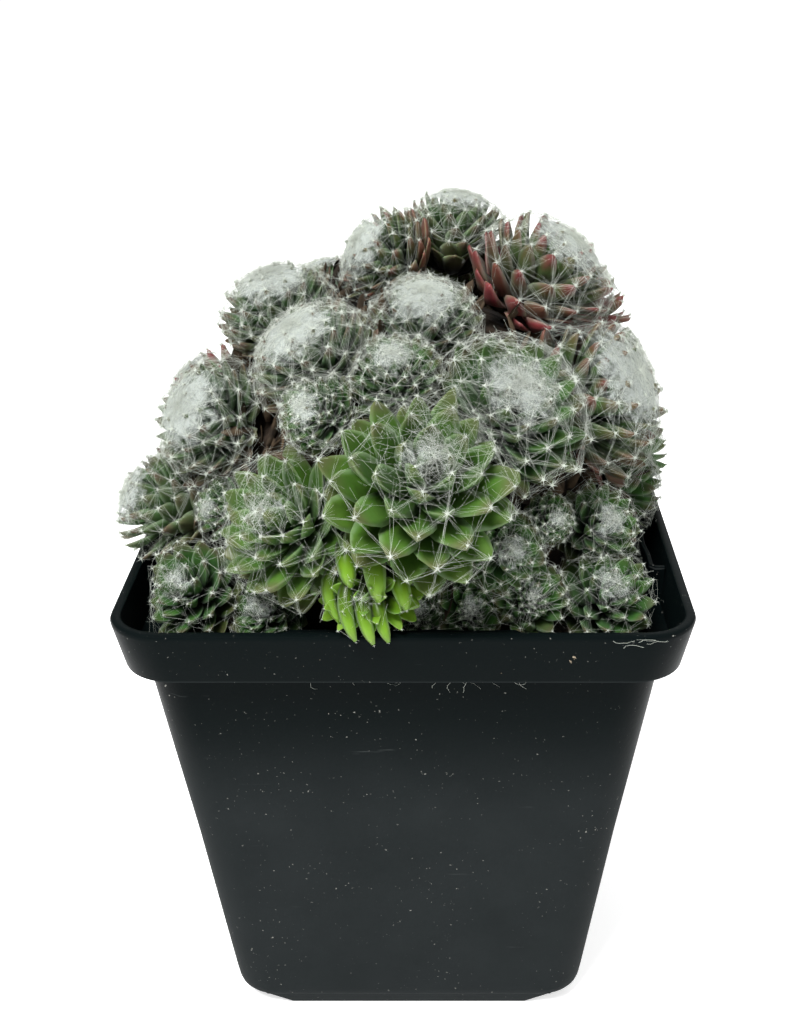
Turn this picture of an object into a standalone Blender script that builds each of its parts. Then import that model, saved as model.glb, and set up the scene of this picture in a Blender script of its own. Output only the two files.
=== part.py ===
"""Cobweb houseleek, the hens and chicks with webbed rosettes, heaped over a square nursery pot.

The frame: +Z up, the origin at the centre of the pot's flat underside, -Y towards the front.
Lengths are in millimetres here and become metres as each mesh is made.
"""
import math
import random

import bmesh
import bpy
from mathutils import Matrix, Vector

MM = 0.001
GAP = 0.3                   # clearance between pieces that touch

# The pot, an injection-moulded stepped square
RIM_HALF = 44.6             # half the width over the rim
POT_HEIGHT = 81.5
RIM_BAND = 8.7              # height of the upright band round the top
BAND_FLARE = 1.5            # how far the band leans out over its height
SHOULDER_HALF = 40.0        # half the width of the body under the band
FOOT_HALF = 30.0            # half the width of the body at the floor
WALL = 1.2
LIP = 1.7                   # thickness of the band's top edge
PLINTH = 2.5                # how far the pressed-down middle of the floor stands below the corners
PLINTH_SIDE = 20.5          # half the straight side of the plinth where it stands
PLINTH_SIDE_TOP = 25.0      # and where it meets the raised corners
RIM_CORNER = 8.5
FOOT_CORNER = 6.5
CORNER_STEPS = 6
DRAIN_RADIUS = 2.6
DRAIN_PLACE = 24.3          # of the corner drain holes, from the middle, along X and Y
LEDGE_HALF = 19.0           # stacking ledge inside the middle of each side of the band
LEDGE_DEPTH = 2.2
LEDGE_TOP = 1.6             # how far the ledge lies below the top edge

# What fills it
SOIL_TOP = 71.0
SOIL_CORNER_SOFT = 1.5
MAT_RADIUS = 33.0           # heap of old stems, roots and dead leaves that carries the rosettes
MAT_CENTRE = Vector((0.0, 0.0, 88.0))
MAT_SEGMENTS, MAT_RINGS = 18, 11

# A rosette: rings of pointed leaves round a bud, on a short stem
RINGS = ((-6, 1.0), (18, 0.98), (42, 0.93), (65, 0.84))     # tilt above the rosette's own level, share of its radius
CREASES = ((-45, 0.58), (6, 0.62), (30, 0.62), (54, 0.58), (77, 0.50))
LIMP_RINGS = ((-34, 1.15), (-8, 1.05), (24, 0.92), (54, 0.80))
LIMP_CREASES = ((-58, 0.45), (-21, 0.52), (8, 0.55), (39, 0.52), (72, 0.45))
BUD_SHARE = 0.74
NOTCH_SHARE = 0.74          # where two leaves of a ring part, as a share of their length
SHOULDER_SHARE = 0.90       # where a leaf starts to narrow to its point
SHOULDER_TURN = 0.30        # half the leaf's width there, as a share of the step between leaves
TIP_LIFT = 6                # degrees that a leaf's point curls up
LEAF_LENGTHS = (0.94, 1.04)     # how unequal the leaves of a ring are
LEAF_WANDER = 3             # degrees that a leaf stands off its ring
LEAVES_BY_RADIUS = ((12, 9), (8.8, 8), (6.3, 7), (0, 6))    # from this radius up, this many leaves to a ring
REACH = 1.06                # the furthest that any point lies, as a share of the radius
STEM_SHARE = 0.13
STEM_LEAST = 1.1            # radius of the thinnest stem
STEM_SINK = 2.6             # how deep a stem stands in its hole
HOLE_SIDES = 6
PRESS_WITHIN = 1.3          # rosettes press on each other within this share of their radii together
SIDE_SHARE = (0.34, 0.66)   # where the line between two crowded rosettes may fall
SKIRT_SHARE = 0.45          # how far under its heart a rosette's leaves hang, as a share of its radius
KEEP_INSIDE = 39.6          # rosettes low in the pot stay this near its middle
KEEP_CORNER = 53.8          # and this near along the diagonal
KEEP_ABOVE = POT_HEIGHT + 0.6

# Place of each rosette's heart, its radius, the way it faces (degrees round from the front, degrees up), its kind.
# The first rows are the side that faces the front, from the top of the heap down.
ROSETTES = (
    ((8, 10, 129), 9.5, 120, 82, "olive"),
    ((-3, 0, 127), 9.0, -66, 34, "brown"),
    ((22, 1, 123), 13.0, 76, 52, "red"),
    ((-20, -7, 120), 10.0, -50, 72, "pale"),
    ((3, -15, 120), 9.5, 5, 72, "pale"),
    ((-13, -23, 117), 10.5, -58, 55, "pale"),
    ((-1, -29, 116), 8.0, -5, 62, "green"),
    ((-12, -32, 112), 6.5, -38, 30, "green"),
    ((15, -29, 110), 13.5, 22, 50, "green"),
    ((29.5, -9, 106), 14.5, 64, 34, "brown"),
    ((-30, -14, 104), 11.0, -52, 34, "pale"),
    ((3, -40, 104), 15.5, 12, 44, "fresh"),
    ((-16, -35, 95), 12.5, -36, 34, "fresh"),
    ((-39, -12, 88.2), 11.0, -76, 26, "olive"),
    ((-28, -24, 93), 5.5, -48, 20, "green"),
    ((22, -32, 95), 4.2, 30, 22, "green"),
    ((15, -37, 92), 6.6, 18, 26, "green"),
    ((30, -24, 90), 7.5, 30, 34, "green"),
    ((-5, -41, 87), 8.2, -6, 20, "lime"),
    ((19, -37, 84), 6.2, 16, 36, "green"),
    ((10, -37, 82), 5.8, 6, 34, "green"),
    ((2, -36, 81), 6.0, 0, 34, "green"),
    ((-21, -34, 80), 6.2, -20, 40, "green"),
    ((-33, -31, 82), 8.6, -24, 42, "green"),
    ((31, -31, 81), 8.6, 20, 48, "green"),
    # the sides and the back
    ((4, 25, 119), 11.5, 172, 60, "olive"),
    ((-14, 20, 115), 9.5, -135, 64, "pale"),
    ((28, 16, 114.5), 11.5, 135, 54, "red"),
    ((33, 13, 103.5), 12.0, 104, 30, "green"),
    ((20, 31, 104), 12.0, 146, 32, "brown"),
    ((-2, 35, 104), 12.0, 182, 32, "green"),
    ((-22, 29, 105), 12.0, -145, 32, "olive"),
    ((-34, 12, 99), 10.5, -108, 34, "red"),
    ((36, -1, 88), 9.5, 88, 20, "green"),
    ((38.5, 17, 88), 10.5, 108, 20, "green"),
    ((31, 33, 86), 10.5, 136, 28, "olive"),
    ((13, 40, 88), 10.5, 164, 20, "green"),
    ((-7, 41, 87), 10.0, 190, 20, "green"),
    ((-26, 36, 87), 10.5, -146, 22, "fresh"),
    ((-37, 22, 86), 10.0, -114, 20, "green"),
    ((-38, 8, 87), 9.5, -92, 20, "green"),
)
SPILLING = "lime"           # the kind whose limp leaves lie over the rim
ROOTED_BEYOND = 43.0        # a rosette further out than this, and as low as the rim, roots in the soil itself
ROOTED_BELOW = 84.0
ROOTED_INWARD = 0.97        # and its root lies a little nearer the middle

FINISHES = {                # colour, roughness
    "pot": ((0.020, 0.024, 0.026), 0.42),
    "soil": ((0.050, 0.035, 0.022), 0.95),
    "mat": ((0.110, 0.080, 0.050), 0.95),
    "green": ((0.060, 0.170, 0.060), 0.55),
    "fresh": ((0.130, 0.300, 0.055), 0.50),
    "lime": ((0.260, 0.520, 0.060), 0.45),
    "olive": ((0.190, 0.210, 0.090), 0.60),
    "pale": ((0.300, 0.380, 0.300), 0.70),
    "brown": ((0.260, 0.180, 0.120), 0.65),
    "red": ((0.330, 0.070, 0.080), 0.50),
}


def clear_scene():
    for obj in list(bpy.data.objects):
        bpy.data.objects.remove(obj)


def finish(name):
    """The material of this finish, made once."""
    found = bpy.data.materials.get(name)
    if found:
        return found
    colour, roughness = FINISHES[name]
    made = bpy.data.materials.new(name)
    made.use_nodes = True
    shader = made.node_tree.nodes["Principled BSDF"]
    shader.inputs["Base Color"].default_value = (*colour, 1.0)
    shader.inputs["Roughness"].default_value = roughness
    shader.inputs["Metallic"].default_value = 0.0
    return made


def object_from(bm, name, finish_name, collection):
    """An object in metres from a mesh in millimetres, its faces pointing out."""
    bmesh.ops.scale(bm, vec=(MM, MM, MM), verts=bm.verts)
    bmesh.ops.recalc_face_normals(bm, faces=bm.faces)
    mesh = bpy.data.meshes.new(name)
    bm.to_mesh(mesh)
    bm.free()
    obj = bpy.data.objects.new(name, mesh)
    mesh.materials.append(finish(finish_name))
    collection.objects.link(obj)
    return obj


def add_loops(bm, loops):
    """One vertex for each point of each loop."""
    return [[bm.verts.new(point) for point in loop] for loop in loops]


def bridge(bm, lower, upper):
    """Quads between two loops of the same number of points."""
    count = len(lower)
    for i in range(count):
        j = (i + 1) % count
        bm.faces.new((lower[i], lower[j], upper[j], upper[i]))


def rounded_square(half, corner, z, chamfer_from=None):
    """Points round a square with round corners, or with flat ones that start chamfer_from along each side."""
    points = []
    for quarter in range(4):
        turn = Matrix.Rotation(math.radians(90 * quarter), 3, "Z")
        for step in range(CORNER_STEPS + 1):
            share = step / CORNER_STEPS
            if chamfer_from is None:
                angle = math.radians(90 * share)
                centre = half - corner
                flat = Vector((centre + corner * math.cos(angle), centre + corner * math.sin(angle), z))
            else:
                flat = Vector((half, chamfer_from, z)).lerp(Vector((chamfer_from, half, z)), share)
            points.append(turn @ flat)
    return points


def cut(obj, cutters, operation="DIFFERENCE"):
    """Applies one Boolean of all the cutters, then removes them."""
    group = bpy.data.collections.new(obj.name + "_cutters")
    bpy.context.scene.collection.children.link(group)
    for cutter in cutters:
        group.objects.link(cutter)
        for home in list(cutter.users_collection):
            if home != group:
                home.objects.unlink(cutter)
    modifier = obj.modifiers.new("cut", "BOOLEAN")
    modifier.operation = operation
    modifier.operand_type = "COLLECTION"
    modifier.collection = group
    modifier.solver = "EXACT"
    graph = bpy.context.evaluated_depsgraph_get()
    made = bpy.data.meshes.new_from_object(obj.evaluated_get(graph))
    obj.modifiers.clear()
    obj.data = made
    for cutter in list(group.objects):
        bpy.data.objects.remove(cutter)
    bpy.data.collections.remove(group)


def rod(name, start, end, radius, sides, collection):
    """A plain prism from start to end."""
    bm = bmesh.new()
    axis = end - start
    bmesh.ops.create_cone(bm, cap_ends=True, segments=sides, radius1=radius, radius2=radius, depth=axis.length)
    place = Matrix.Translation((start + end) / 2) @ axis.to_track_quat("Z", "Y").to_matrix().to_4x4()
    bmesh.ops.transform(bm, matrix=place, verts=bm.verts)
    return object_from(bm, name, "soil", collection)


def box(name, low, high, collection):
    """A plain block between two corners."""
    bm = bmesh.new()
    bmesh.ops.create_cube(bm, size=1.0)
    low, high = Vector(low), Vector(high)
    bmesh.ops.scale(bm, vec=high - low, verts=bm.verts)
    bmesh.ops.translate(bm, vec=(low + high) / 2, verts=bm.verts)
    return object_from(bm, name, "pot", collection)


def inner_half(z):
    """Half the clear width inside the body of the pot at this height."""
    share = (z - PLINTH) / (POT_HEIGHT - RIM_BAND - PLINTH)
    return FOOT_HALF + (SHOULDER_HALF - FOOT_HALF) * share - WALL


def build_pot(collection):
    """The shell, from the middle of the underside out, up the outside and down the inside."""
    band = POT_HEIGHT - RIM_BAND
    corner = RIM_CORNER - 1.5
    inside = FOOT_HALF - WALL
    plinth_in = PLINTH_SIDE - WALL
    loops = [
        rounded_square(FOOT_HALF - 0.8, 0, 0, PLINTH_SIDE),
        rounded_square(FOOT_HALF - 0.1, 0, PLINTH, PLINTH_SIDE_TOP),
        rounded_square(FOOT_HALF, FOOT_CORNER, PLINTH + 0.1),
        rounded_square(FOOT_HALF + 0.5, FOOT_CORNER, PLINTH + 1.4),
        rounded_square(SHOULDER_HALF, corner, band - 0.8),
        rounded_square(SHOULDER_HALF + 0.5, corner, band),
        rounded_square(RIM_HALF - BAND_FLARE, RIM_CORNER, band),
        rounded_square(RIM_HALF, RIM_CORNER, POT_HEIGHT - 0.5),
        rounded_square(RIM_HALF - 0.5, RIM_CORNER - 0.5, POT_HEIGHT),
        rounded_square(RIM_HALF - LIP, RIM_CORNER - LIP, POT_HEIGHT),
        rounded_square(RIM_HALF - BAND_FLARE - WALL, RIM_CORNER - WALL, band + WALL),
        rounded_square(SHOULDER_HALF - WALL, corner - WALL, band + WALL - 0.5),
        rounded_square(inside, FOOT_CORNER - WALL, PLINTH + 2 * WALL),
        rounded_square(inside - 1.0, FOOT_CORNER - WALL - 1.0, PLINTH + WALL),
        rounded_square(inside - 1.5, 0, PLINTH + WALL, PLINTH_SIDE_TOP - WALL),
        rounded_square(inside - 2.0, 0, WALL, plinth_in),
    ]
    bm = bmesh.new()
    rows = add_loops(bm, loops)
    for lower, upper in zip(rows, rows[1:]):
        bridge(bm, lower, upper)
    bm.faces.new(rows[0])
    bm.faces.new(rows[-1])
    pot = object_from(bm, "pot", "pot", collection)
    ledges = []
    top, bottom = POT_HEIGHT - LEDGE_TOP, band + WALL / 2
    reach_in, reach_out = RIM_HALF - LIP - LEDGE_DEPTH, RIM_HALF - LIP + 0.3
    for sign in (-1, 1):
        span = sorted((sign * reach_in, sign * reach_out))
        ledges.append(box("ledge", (-LEDGE_HALF, span[0], bottom), (LEDGE_HALF, span[1], top), collection))
        ledges.append(box("ledge", (span[0], -LEDGE_HALF, bottom), (span[1], LEDGE_HALF, top), collection))
    cut(pot, ledges, "UNION")
    drains = []
    for x in (-DRAIN_PLACE, DRAIN_PLACE):
        for y in (-DRAIN_PLACE, DRAIN_PLACE):
            drains.append(rod("drain", Vector((x, y, -2)), Vector((x, y, 12)), DRAIN_RADIUS, 10, collection))
    cut(pot, drains)
    return pot


def build_soil(holes, collection):
    """The root ball, shaped by the pot's inside, with a plain hole for each stem that stands in it."""
    low, high = PLINTH + 2 * WALL + GAP, SOIL_TOP
    loops = [
        rounded_square(inner_half(low) - GAP - 0.6, FOOT_CORNER - WALL, low),
        rounded_square(inner_half(high - SOIL_CORNER_SOFT) - GAP, RIM_CORNER - 3, high - SOIL_CORNER_SOFT),
        rounded_square(inner_half(high) - 2.0, RIM_CORNER - 4, high),
    ]
    bm = bmesh.new()
    rows = add_loops(bm, loops)
    for lower, upper in zip(rows, rows[1:]):
        bridge(bm, lower, upper)
    bm.faces.new(rows[0])
    bm.faces.new(rows[-1])
    soil = object_from(bm, "potting_soil", "soil", collection)
    if holes:
        cut(soil, holes)
    return soil


def build_mat(holes, collection):
    """The dome of old growth under the rosettes, flat where it lies on the soil."""
    bm = bmesh.new()
    bmesh.ops.create_uvsphere(bm, u_segments=MAT_SEGMENTS, v_segments=MAT_RINGS, radius=MAT_RADIUS)
    bmesh.ops.translate(bm, vec=MAT_CENTRE, verts=bm.verts)
    everything = list(bm.verts) + list(bm.edges) + list(bm.faces)
    floor = Vector((0, 0, SOIL_TOP + GAP))
    cuts = bmesh.ops.bisect_plane(bm, geom=everything, plane_co=floor, plane_no=(0, 0, 1), clear_inner=True)
    rim = [item for item in cuts["geom_cut"] if isinstance(item, bmesh.types.BMEdge)]
    bmesh.ops.contextual_create(bm, geom=rim)
    mat = object_from(bm, "stem_mat", "mat", collection)
    cut(mat, holes)
    return mat


def facing(turn, lift):
    """The unit vector this many degrees round from the front and this many up."""
    a, e = math.radians(turn), math.radians(lift)
    return Vector((math.sin(a) * math.cos(e), -math.cos(a) * math.cos(e), math.sin(e)))


class Rosette:
    """One hen or chick: where it sits, how big it is, and the room that its neighbours leave it."""

    def __init__(self, number, place, radius, turn, lift, kind):
        self.name = f"rosette_{number:02d}"
        self.heart = Vector(place)
        self.radius = radius
        self.kind = kind
        self.face = facing(turn, lift)
        side = Vector((0, 0, 1)) if lift < 80 else Vector((0, 1, 0))
        self.right = side.cross(self.face).normalized()
        self.up = self.face.cross(self.right)
        self.random = random.Random(100 + number)
        self.walls = []     # (point, normal) of the planes that it stays behind
        self.find_root()

    def find_root(self):
        """Where the stem enters the soil or the mat, and the way that it leaves it."""
        flat = math.hypot(self.heart.x, self.heart.y)
        self.in_soil = flat > ROOTED_BEYOND and self.heart.z < ROOTED_BELOW
        if self.in_soil:
            self.out = Vector((0, 0, 1))
            self.root = Vector((self.heart.x * ROOTED_INWARD, self.heart.y * ROOTED_INWARD, SOIL_TOP))
        else:
            self.out = (self.heart - MAT_CENTRE).normalized()
            self.root = MAT_CENTRE + self.out * MAT_RADIUS
        self.walls.append((self.root + self.out * GAP, -self.out))

    def stay_off_pot(self):
        """Low rosettes stay inside the rim, and the others above it."""
        low = self.heart.z - SKIRT_SHARE * self.radius < POT_HEIGHT + 1.0
        if low and self.kind != SPILLING:
            for sign in (-1, 1):
                self.walls.append((Vector((sign * KEEP_INSIDE, 0, 0)), Vector((sign, 0, 0))))
                self.walls.append((Vector((0, sign * KEEP_INSIDE, 0)), Vector((0, sign, 0))))
            diagonal = Vector((math.copysign(1, self.heart.x), math.copysign(1, self.heart.y), 0)).normalized()
            self.walls.append((diagonal * KEEP_CORNER, diagonal))
        else:
            self.walls.append((Vector((0, 0, KEEP_ABOVE)), Vector((0, 0, -1))))

    def share_room(self, other):
        """A wall half-way to a neighbour that it presses on, nearer the smaller of the two."""
        way = other.heart - self.heart
        apart = way.length
        if apart > PRESS_WITHIN * (self.radius + other.radius):
            return
        share = 0.5 + (self.radius**2 - other.radius**2) / (2 * apart**2)
        share = min(max(share, SIDE_SHARE[0]), SIDE_SHARE[1])
        normal = way.normalized()
        self.walls.append((self.heart + normal * (apart * share - GAP / 2), normal))

    def fitted(self, turn, tilt, share):
        """A point of the rosette from its turn and tilt, pulled in along its own ray where a neighbour presses."""
        a, e = math.radians(turn), math.radians(tilt)
        ray = (self.right * math.cos(a) + self.up * math.sin(a)) * math.cos(e) + self.face * math.sin(e)
        room = self.radius * REACH
        for point, normal in self.walls:
            towards = ray.dot(normal)
            if towards > 1e-4:
                room = min(room, (point - self.heart).dot(normal) / towards)
        squeeze = min(1.0, room / (self.radius * REACH))
        return self.heart + ray * (self.radius * share * squeeze)

    def leaves_in_ring(self):
        return next(count for least, count in LEAVES_BY_RADIUS if self.radius >= least)

    def stem_loop(self, middle, count, first_turn):
        """Points round the stem, in step with the lowest crease."""
        radius = max(STEM_LEAST, self.radius * STEM_SHARE)
        points = []
        for i in range(count):
            a = math.radians(first_turn + 360 * i / count)
            spoke = self.right * math.cos(a) + self.up * math.sin(a)
            spoke = (spoke - self.out * spoke.dot(self.out)).normalized()
            points.append(middle + spoke * radius)
        return points


def ring_outline(rosette, ring, turn_of, step):
    """For each leaf of a ring: its notch, first shoulder, point and second shoulder."""
    tilt, share = ring
    outline = []
    for turn in turn_of:
        long = share * rosette.random.uniform(*LEAF_LENGTHS)
        lift = tilt + rosette.random.uniform(-LEAF_WANDER, LEAF_WANDER)
        outline.append(rosette.fitted(turn - step / 2, tilt, share * NOTCH_SHARE))
        outline.append(rosette.fitted(turn - step * SHOULDER_TURN, lift, long * SHOULDER_SHARE))
        outline.append(rosette.fitted(turn, lift + TIP_LIFT, long))
        outline.append(rosette.fitted(turn + step * SHOULDER_TURN, lift, long * SHOULDER_SHARE))
    return outline


def build_rosette(rosette, collection):
    """One closed skin, lofted up from the stem through every ring of leaves to the bud."""
    count = rosette.leaves_in_ring()
    step = 360 / count
    rings, creases = (LIMP_RINGS, LIMP_CREASES) if rosette.kind == SPILLING else (RINGS, CREASES)
    if count == 6:
        rings, creases = rings[:2] + rings[3:], creases[:2] + creases[3:]
    first = rosette.random.uniform(0, step)
    bm = bmesh.new()
    # a crease's points lie in line with the notches of the ring above it
    crease_turns = [first - step / 2 + step * i for i in range(count)]
    foot = rosette.root - rosette.out * STEM_SINK
    stem_foot = rosette.stem_loop(foot, count, crease_turns[0])
    neck = rosette.root + rosette.out * (GAP + 0.3)
    stem_neck = rosette.stem_loop(neck, count, crease_turns[0])
    crease = [rosette.fitted(turn, *creases[0]) for turn in crease_turns]
    low, mid, crease = add_loops(bm, [stem_foot, stem_neck, crease])
    bm.faces.new(low)
    bridge(bm, low, mid)
    bridge(bm, mid, crease)
    for level, ring in enumerate(rings):
        turns = [turn + step / 2 for turn in crease_turns]
        outline = [bm.verts.new(point) for point in ring_outline(rosette, ring, turns, step)]
        above = [bm.verts.new(rosette.fitted(turn, *creases[level + 1])) for turn in turns]
        for i in range(count):
            j = (i + 1) % count
            notch, left, tip, right = outline[4 * i : 4 * i + 4]
            next_notch, next_left, next_tip = outline[4 * j : 4 * j + 3]
            # the underside of one leaf
            bm.faces.new((crease[i], left, notch))
            bm.faces.new((crease[i], tip, left))
            bm.faces.new((crease[i], crease[j], tip))
            bm.faces.new((crease[j], right, tip))
            bm.faces.new((crease[j], next_notch, right))
            # its upper side from the middle on, and the next leaf's up to its middle
            bm.faces.new((above[i], tip, right))
            bm.faces.new((above[i], right, next_notch))
            bm.faces.new((above[i], next_notch, above[j]))
            bm.faces.new((above[j], next_notch, next_left))
            bm.faces.new((above[j], next_left, next_tip))
        crease, crease_turns = above, turns
    bud = bm.verts.new(rosette.fitted(0, 90, BUD_SHARE))
    for i in range(count):
        bm.faces.new((crease[i], crease[(i + 1) % count], bud))
    return object_from(bm, rosette.name, rosette.kind, collection)


def stem_holes(rosettes, collection):
    """A plain hole for each stem, a little wider than it is."""
    made = []
    for rosette in rosettes:
        radius = max(STEM_LEAST, rosette.radius * STEM_SHARE) + GAP
        inner = rosette.root - rosette.out * (STEM_SINK + GAP)
        outer = rosette.root + rosette.out * 2.0
        made.append(rod("hole", inner, outer, radius / math.cos(math.pi / HOLE_SIDES), HOLE_SIDES, collection))
    return made


def main():
    clear_scene()
    collection = bpy.data.collections.new("hens_and_chicks")
    bpy.context.scene.collection.children.link(collection)
    rosettes = [Rosette(i + 1, *row) for i, row in enumerate(ROSETTES)]
    for rosette in rosettes:
        rosette.stay_off_pot()
        for other in rosettes:
            if other is not rosette:
                rosette.share_room(other)
    build_pot(collection)
    build_soil(stem_holes([r for r in rosettes if r.in_soil], collection), collection)
    build_mat(stem_holes([r for r in rosettes if not r.in_soil], collection), collection)
    for rosette in rosettes:
        build_rosette(rosette, collection)


main()
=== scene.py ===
"""A potted cobweb houseleek: webbed rosettes heaped over a black square nursery pot.

Lengths are in millimetres and become metres as each mesh is made. +Z is up, -Y towards the front.
"""
import math
import random

import bmesh
import bpy
import numpy as np
from mathutils import Matrix, Vector


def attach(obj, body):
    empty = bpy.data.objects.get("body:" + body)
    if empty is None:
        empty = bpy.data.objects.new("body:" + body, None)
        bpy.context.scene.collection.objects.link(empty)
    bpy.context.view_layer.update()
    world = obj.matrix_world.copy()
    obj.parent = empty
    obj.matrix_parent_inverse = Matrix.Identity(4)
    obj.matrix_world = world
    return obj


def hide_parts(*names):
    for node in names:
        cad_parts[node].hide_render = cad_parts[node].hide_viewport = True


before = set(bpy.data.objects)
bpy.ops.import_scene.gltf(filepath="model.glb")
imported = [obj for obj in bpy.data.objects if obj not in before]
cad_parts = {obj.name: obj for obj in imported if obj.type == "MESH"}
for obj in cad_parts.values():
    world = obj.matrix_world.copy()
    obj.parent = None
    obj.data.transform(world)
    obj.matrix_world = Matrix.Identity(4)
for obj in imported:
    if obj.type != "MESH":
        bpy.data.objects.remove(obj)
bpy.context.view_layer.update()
MM = 0.001


# The pot: one shot of black polypropylene, thin-walled, with a band round the top that
# stands out from the tapered body, round corners and a floor pressed down in the middle.
RIM_HALF = 44.6
POT_HEIGHT = 81.5
RIM_BAND = 8.7
BAND_FLARE = 1.5
SHOULDER_HALF = 40.0
FOOT_HALF = 30.0
WALL = 1.2
LIP = 1.7
PLINTH = 2.5
PLINTH_SIDE, PLINTH_SIDE_TOP = 20.5, 25.0
RIM_CORNER, FOOT_CORNER = 8.5, 6.5
CORNER_STEPS = 12
DRAIN_RADIUS, DRAIN_PLACE = 2.6, 24.3


def rounded_square(half, corner, z, flat_from=None):
    """Points round a square with round corners, or with flat ones that start flat_from along each side."""
    points = []
    for quarter in range(4):
        turn = Matrix.Rotation(math.radians(90 * quarter), 3, "Z")
        for step in range(CORNER_STEPS + 1):
            share = step / CORNER_STEPS
            if flat_from is None:
                angle, centre = math.radians(90 * share), half - corner
                point = Vector((centre + corner * math.cos(angle), centre + corner * math.sin(angle), z))
            else:
                point = Vector((half, flat_from, z)).lerp(Vector((flat_from, half, z)), share)
            points.append(turn @ point)
    return points


def piece_from(bm, name, *materials):
    """A piece at the origin, in metres, from a mesh in millimetres."""
    bmesh.ops.scale(bm, vec=(MM, MM, MM), verts=bm.verts)
    mesh = bpy.data.meshes.new(name)
    bm.to_mesh(mesh)
    bm.free()
    for material in materials:
        mesh.materials.append(material)
    obj = bpy.data.objects.new(name, mesh)
    bpy.context.scene.collection.objects.link(obj)
    return obj


def tube_of_loops(bm, loops, closed_ends=True):
    """A skin over loops of the same number of points, from the first to the last."""
    rows = [[bm.verts.new(point) for point in loop] for loop in loops]
    for lower, upper in zip(rows, rows[1:]):
        for i in range(len(lower)):
            j = (i + 1) % len(lower)
            bm.faces.new((lower[i], lower[j], upper[j], upper[i]))
    if closed_ends:
        bm.faces.new(rows[0])
        bm.faces.new(rows[-1])


class Wiring:
    """Short calls for what the node trees of this script repeat."""

    def __init__(self, tree):
        self.nodes, self.links = tree.nodes, tree.links

    def put(self, socket, value):
        """Links an output to a socket, or gives the socket a value."""
        if hasattr(value, "is_linked"):
            self.links.new(value, socket)
        elif socket.type == "RGBA":
            socket.default_value = (*value, 1)
        else:
            socket.default_value = value

    def node(self, kind, inputs=(), **settings):
        """A node with these settings, its inputs given by name or by number."""
        made = self.nodes.new(kind)
        for label, value in settings.items():
            setattr(made, label, value)
        for label, value in dict(inputs).items():
            self.put(made.inputs[label], value)
        return made

    def sum(self, operation, *values):
        """One step of arithmetic."""
        return self.node("ShaderNodeMath", enumerate(values), operation=operation).outputs[0]

    def attribute(self, label):
        """A number that the mesh carries."""
        return self.node("ShaderNodeAttribute", attribute_name=label).outputs["Fac"]

    def place(self):
        """Where on the object a point lies, in metres."""
        return self.node("ShaderNodeTexCoord").outputs["Object"]

    def noise(self, place, scale, detail, **more):
        """A cloudy pattern at these places."""
        inputs = {"Vector": place, "Scale": scale, "Detail": detail, **more}
        return self.node("ShaderNodeTexNoise", inputs).outputs["Fac"]

    def fade(self, value, low, high, to_low=0.0, to_high=1.0, kind="SMOOTHSTEP"):
        """Runs from to_low to to_high while the value runs from low to high."""
        limits = {"Value": value, "From Min": low, "From Max": high, "To Min": to_low, "To Max": to_high}
        return self.node("ShaderNodeMapRange", limits, interpolation_type=kind).outputs["Result"]

    def blend(self, low, high, share):
        """A colour this share of the way from one to another."""
        inputs = {"A": low, "B": high, "Factor": share}
        return self.node("ShaderNodeMix", inputs, data_type="RGBA").outputs["Result"]

    def relief(self, shader, height, strength, distance):
        """Lets a height bump the shader's surface."""
        inputs = {"Strength": strength, "Distance": distance, "Height": height}
        self.put(shader.inputs["Normal"], self.node("ShaderNodeBump", inputs).outputs["Normal"])


NUMBER, COLOUR = "NodeSocketFloat", "NodeSocketColor"


def pattern_group(name, inputs, outputs):
    """A shader node group with these named sockets: the group, its wiring and what comes in."""
    group = bpy.data.node_groups.new(name, "ShaderNodeTree")
    for way, sockets in (("INPUT", inputs), ("OUTPUT", outputs)):
        for label, kind in sockets.items():
            group.interface.new_socket(label, in_out=way, socket_type=kind)
    wiring = Wiring(group)
    return group, wiring, wiring.node("NodeGroupInput").outputs


def new_material(name, surface):
    """A material with these values on its shader's own sockets: it, its wiring and its shader."""
    made = bpy.data.materials.new(name)
    made.use_nodes = True
    shader = made.node_tree.nodes["Principled BSDF"]
    for label, value in surface.items():
        shader.inputs[label].default_value = value
    return made, Wiring(made.node_tree), shader


# the film is full low on the body and fades out above: lighter and duller towards the bottom; a thin
# painted highlight runs along the band's seam
FILM_FULL_BELOW, FILM_THIN_ABOVE = 42.0, 66.0
SEAM, SEAM_HIGHLIGHT_REACH = POT_HEIGHT - RIM_BAND + 0.1, 0.5


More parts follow.
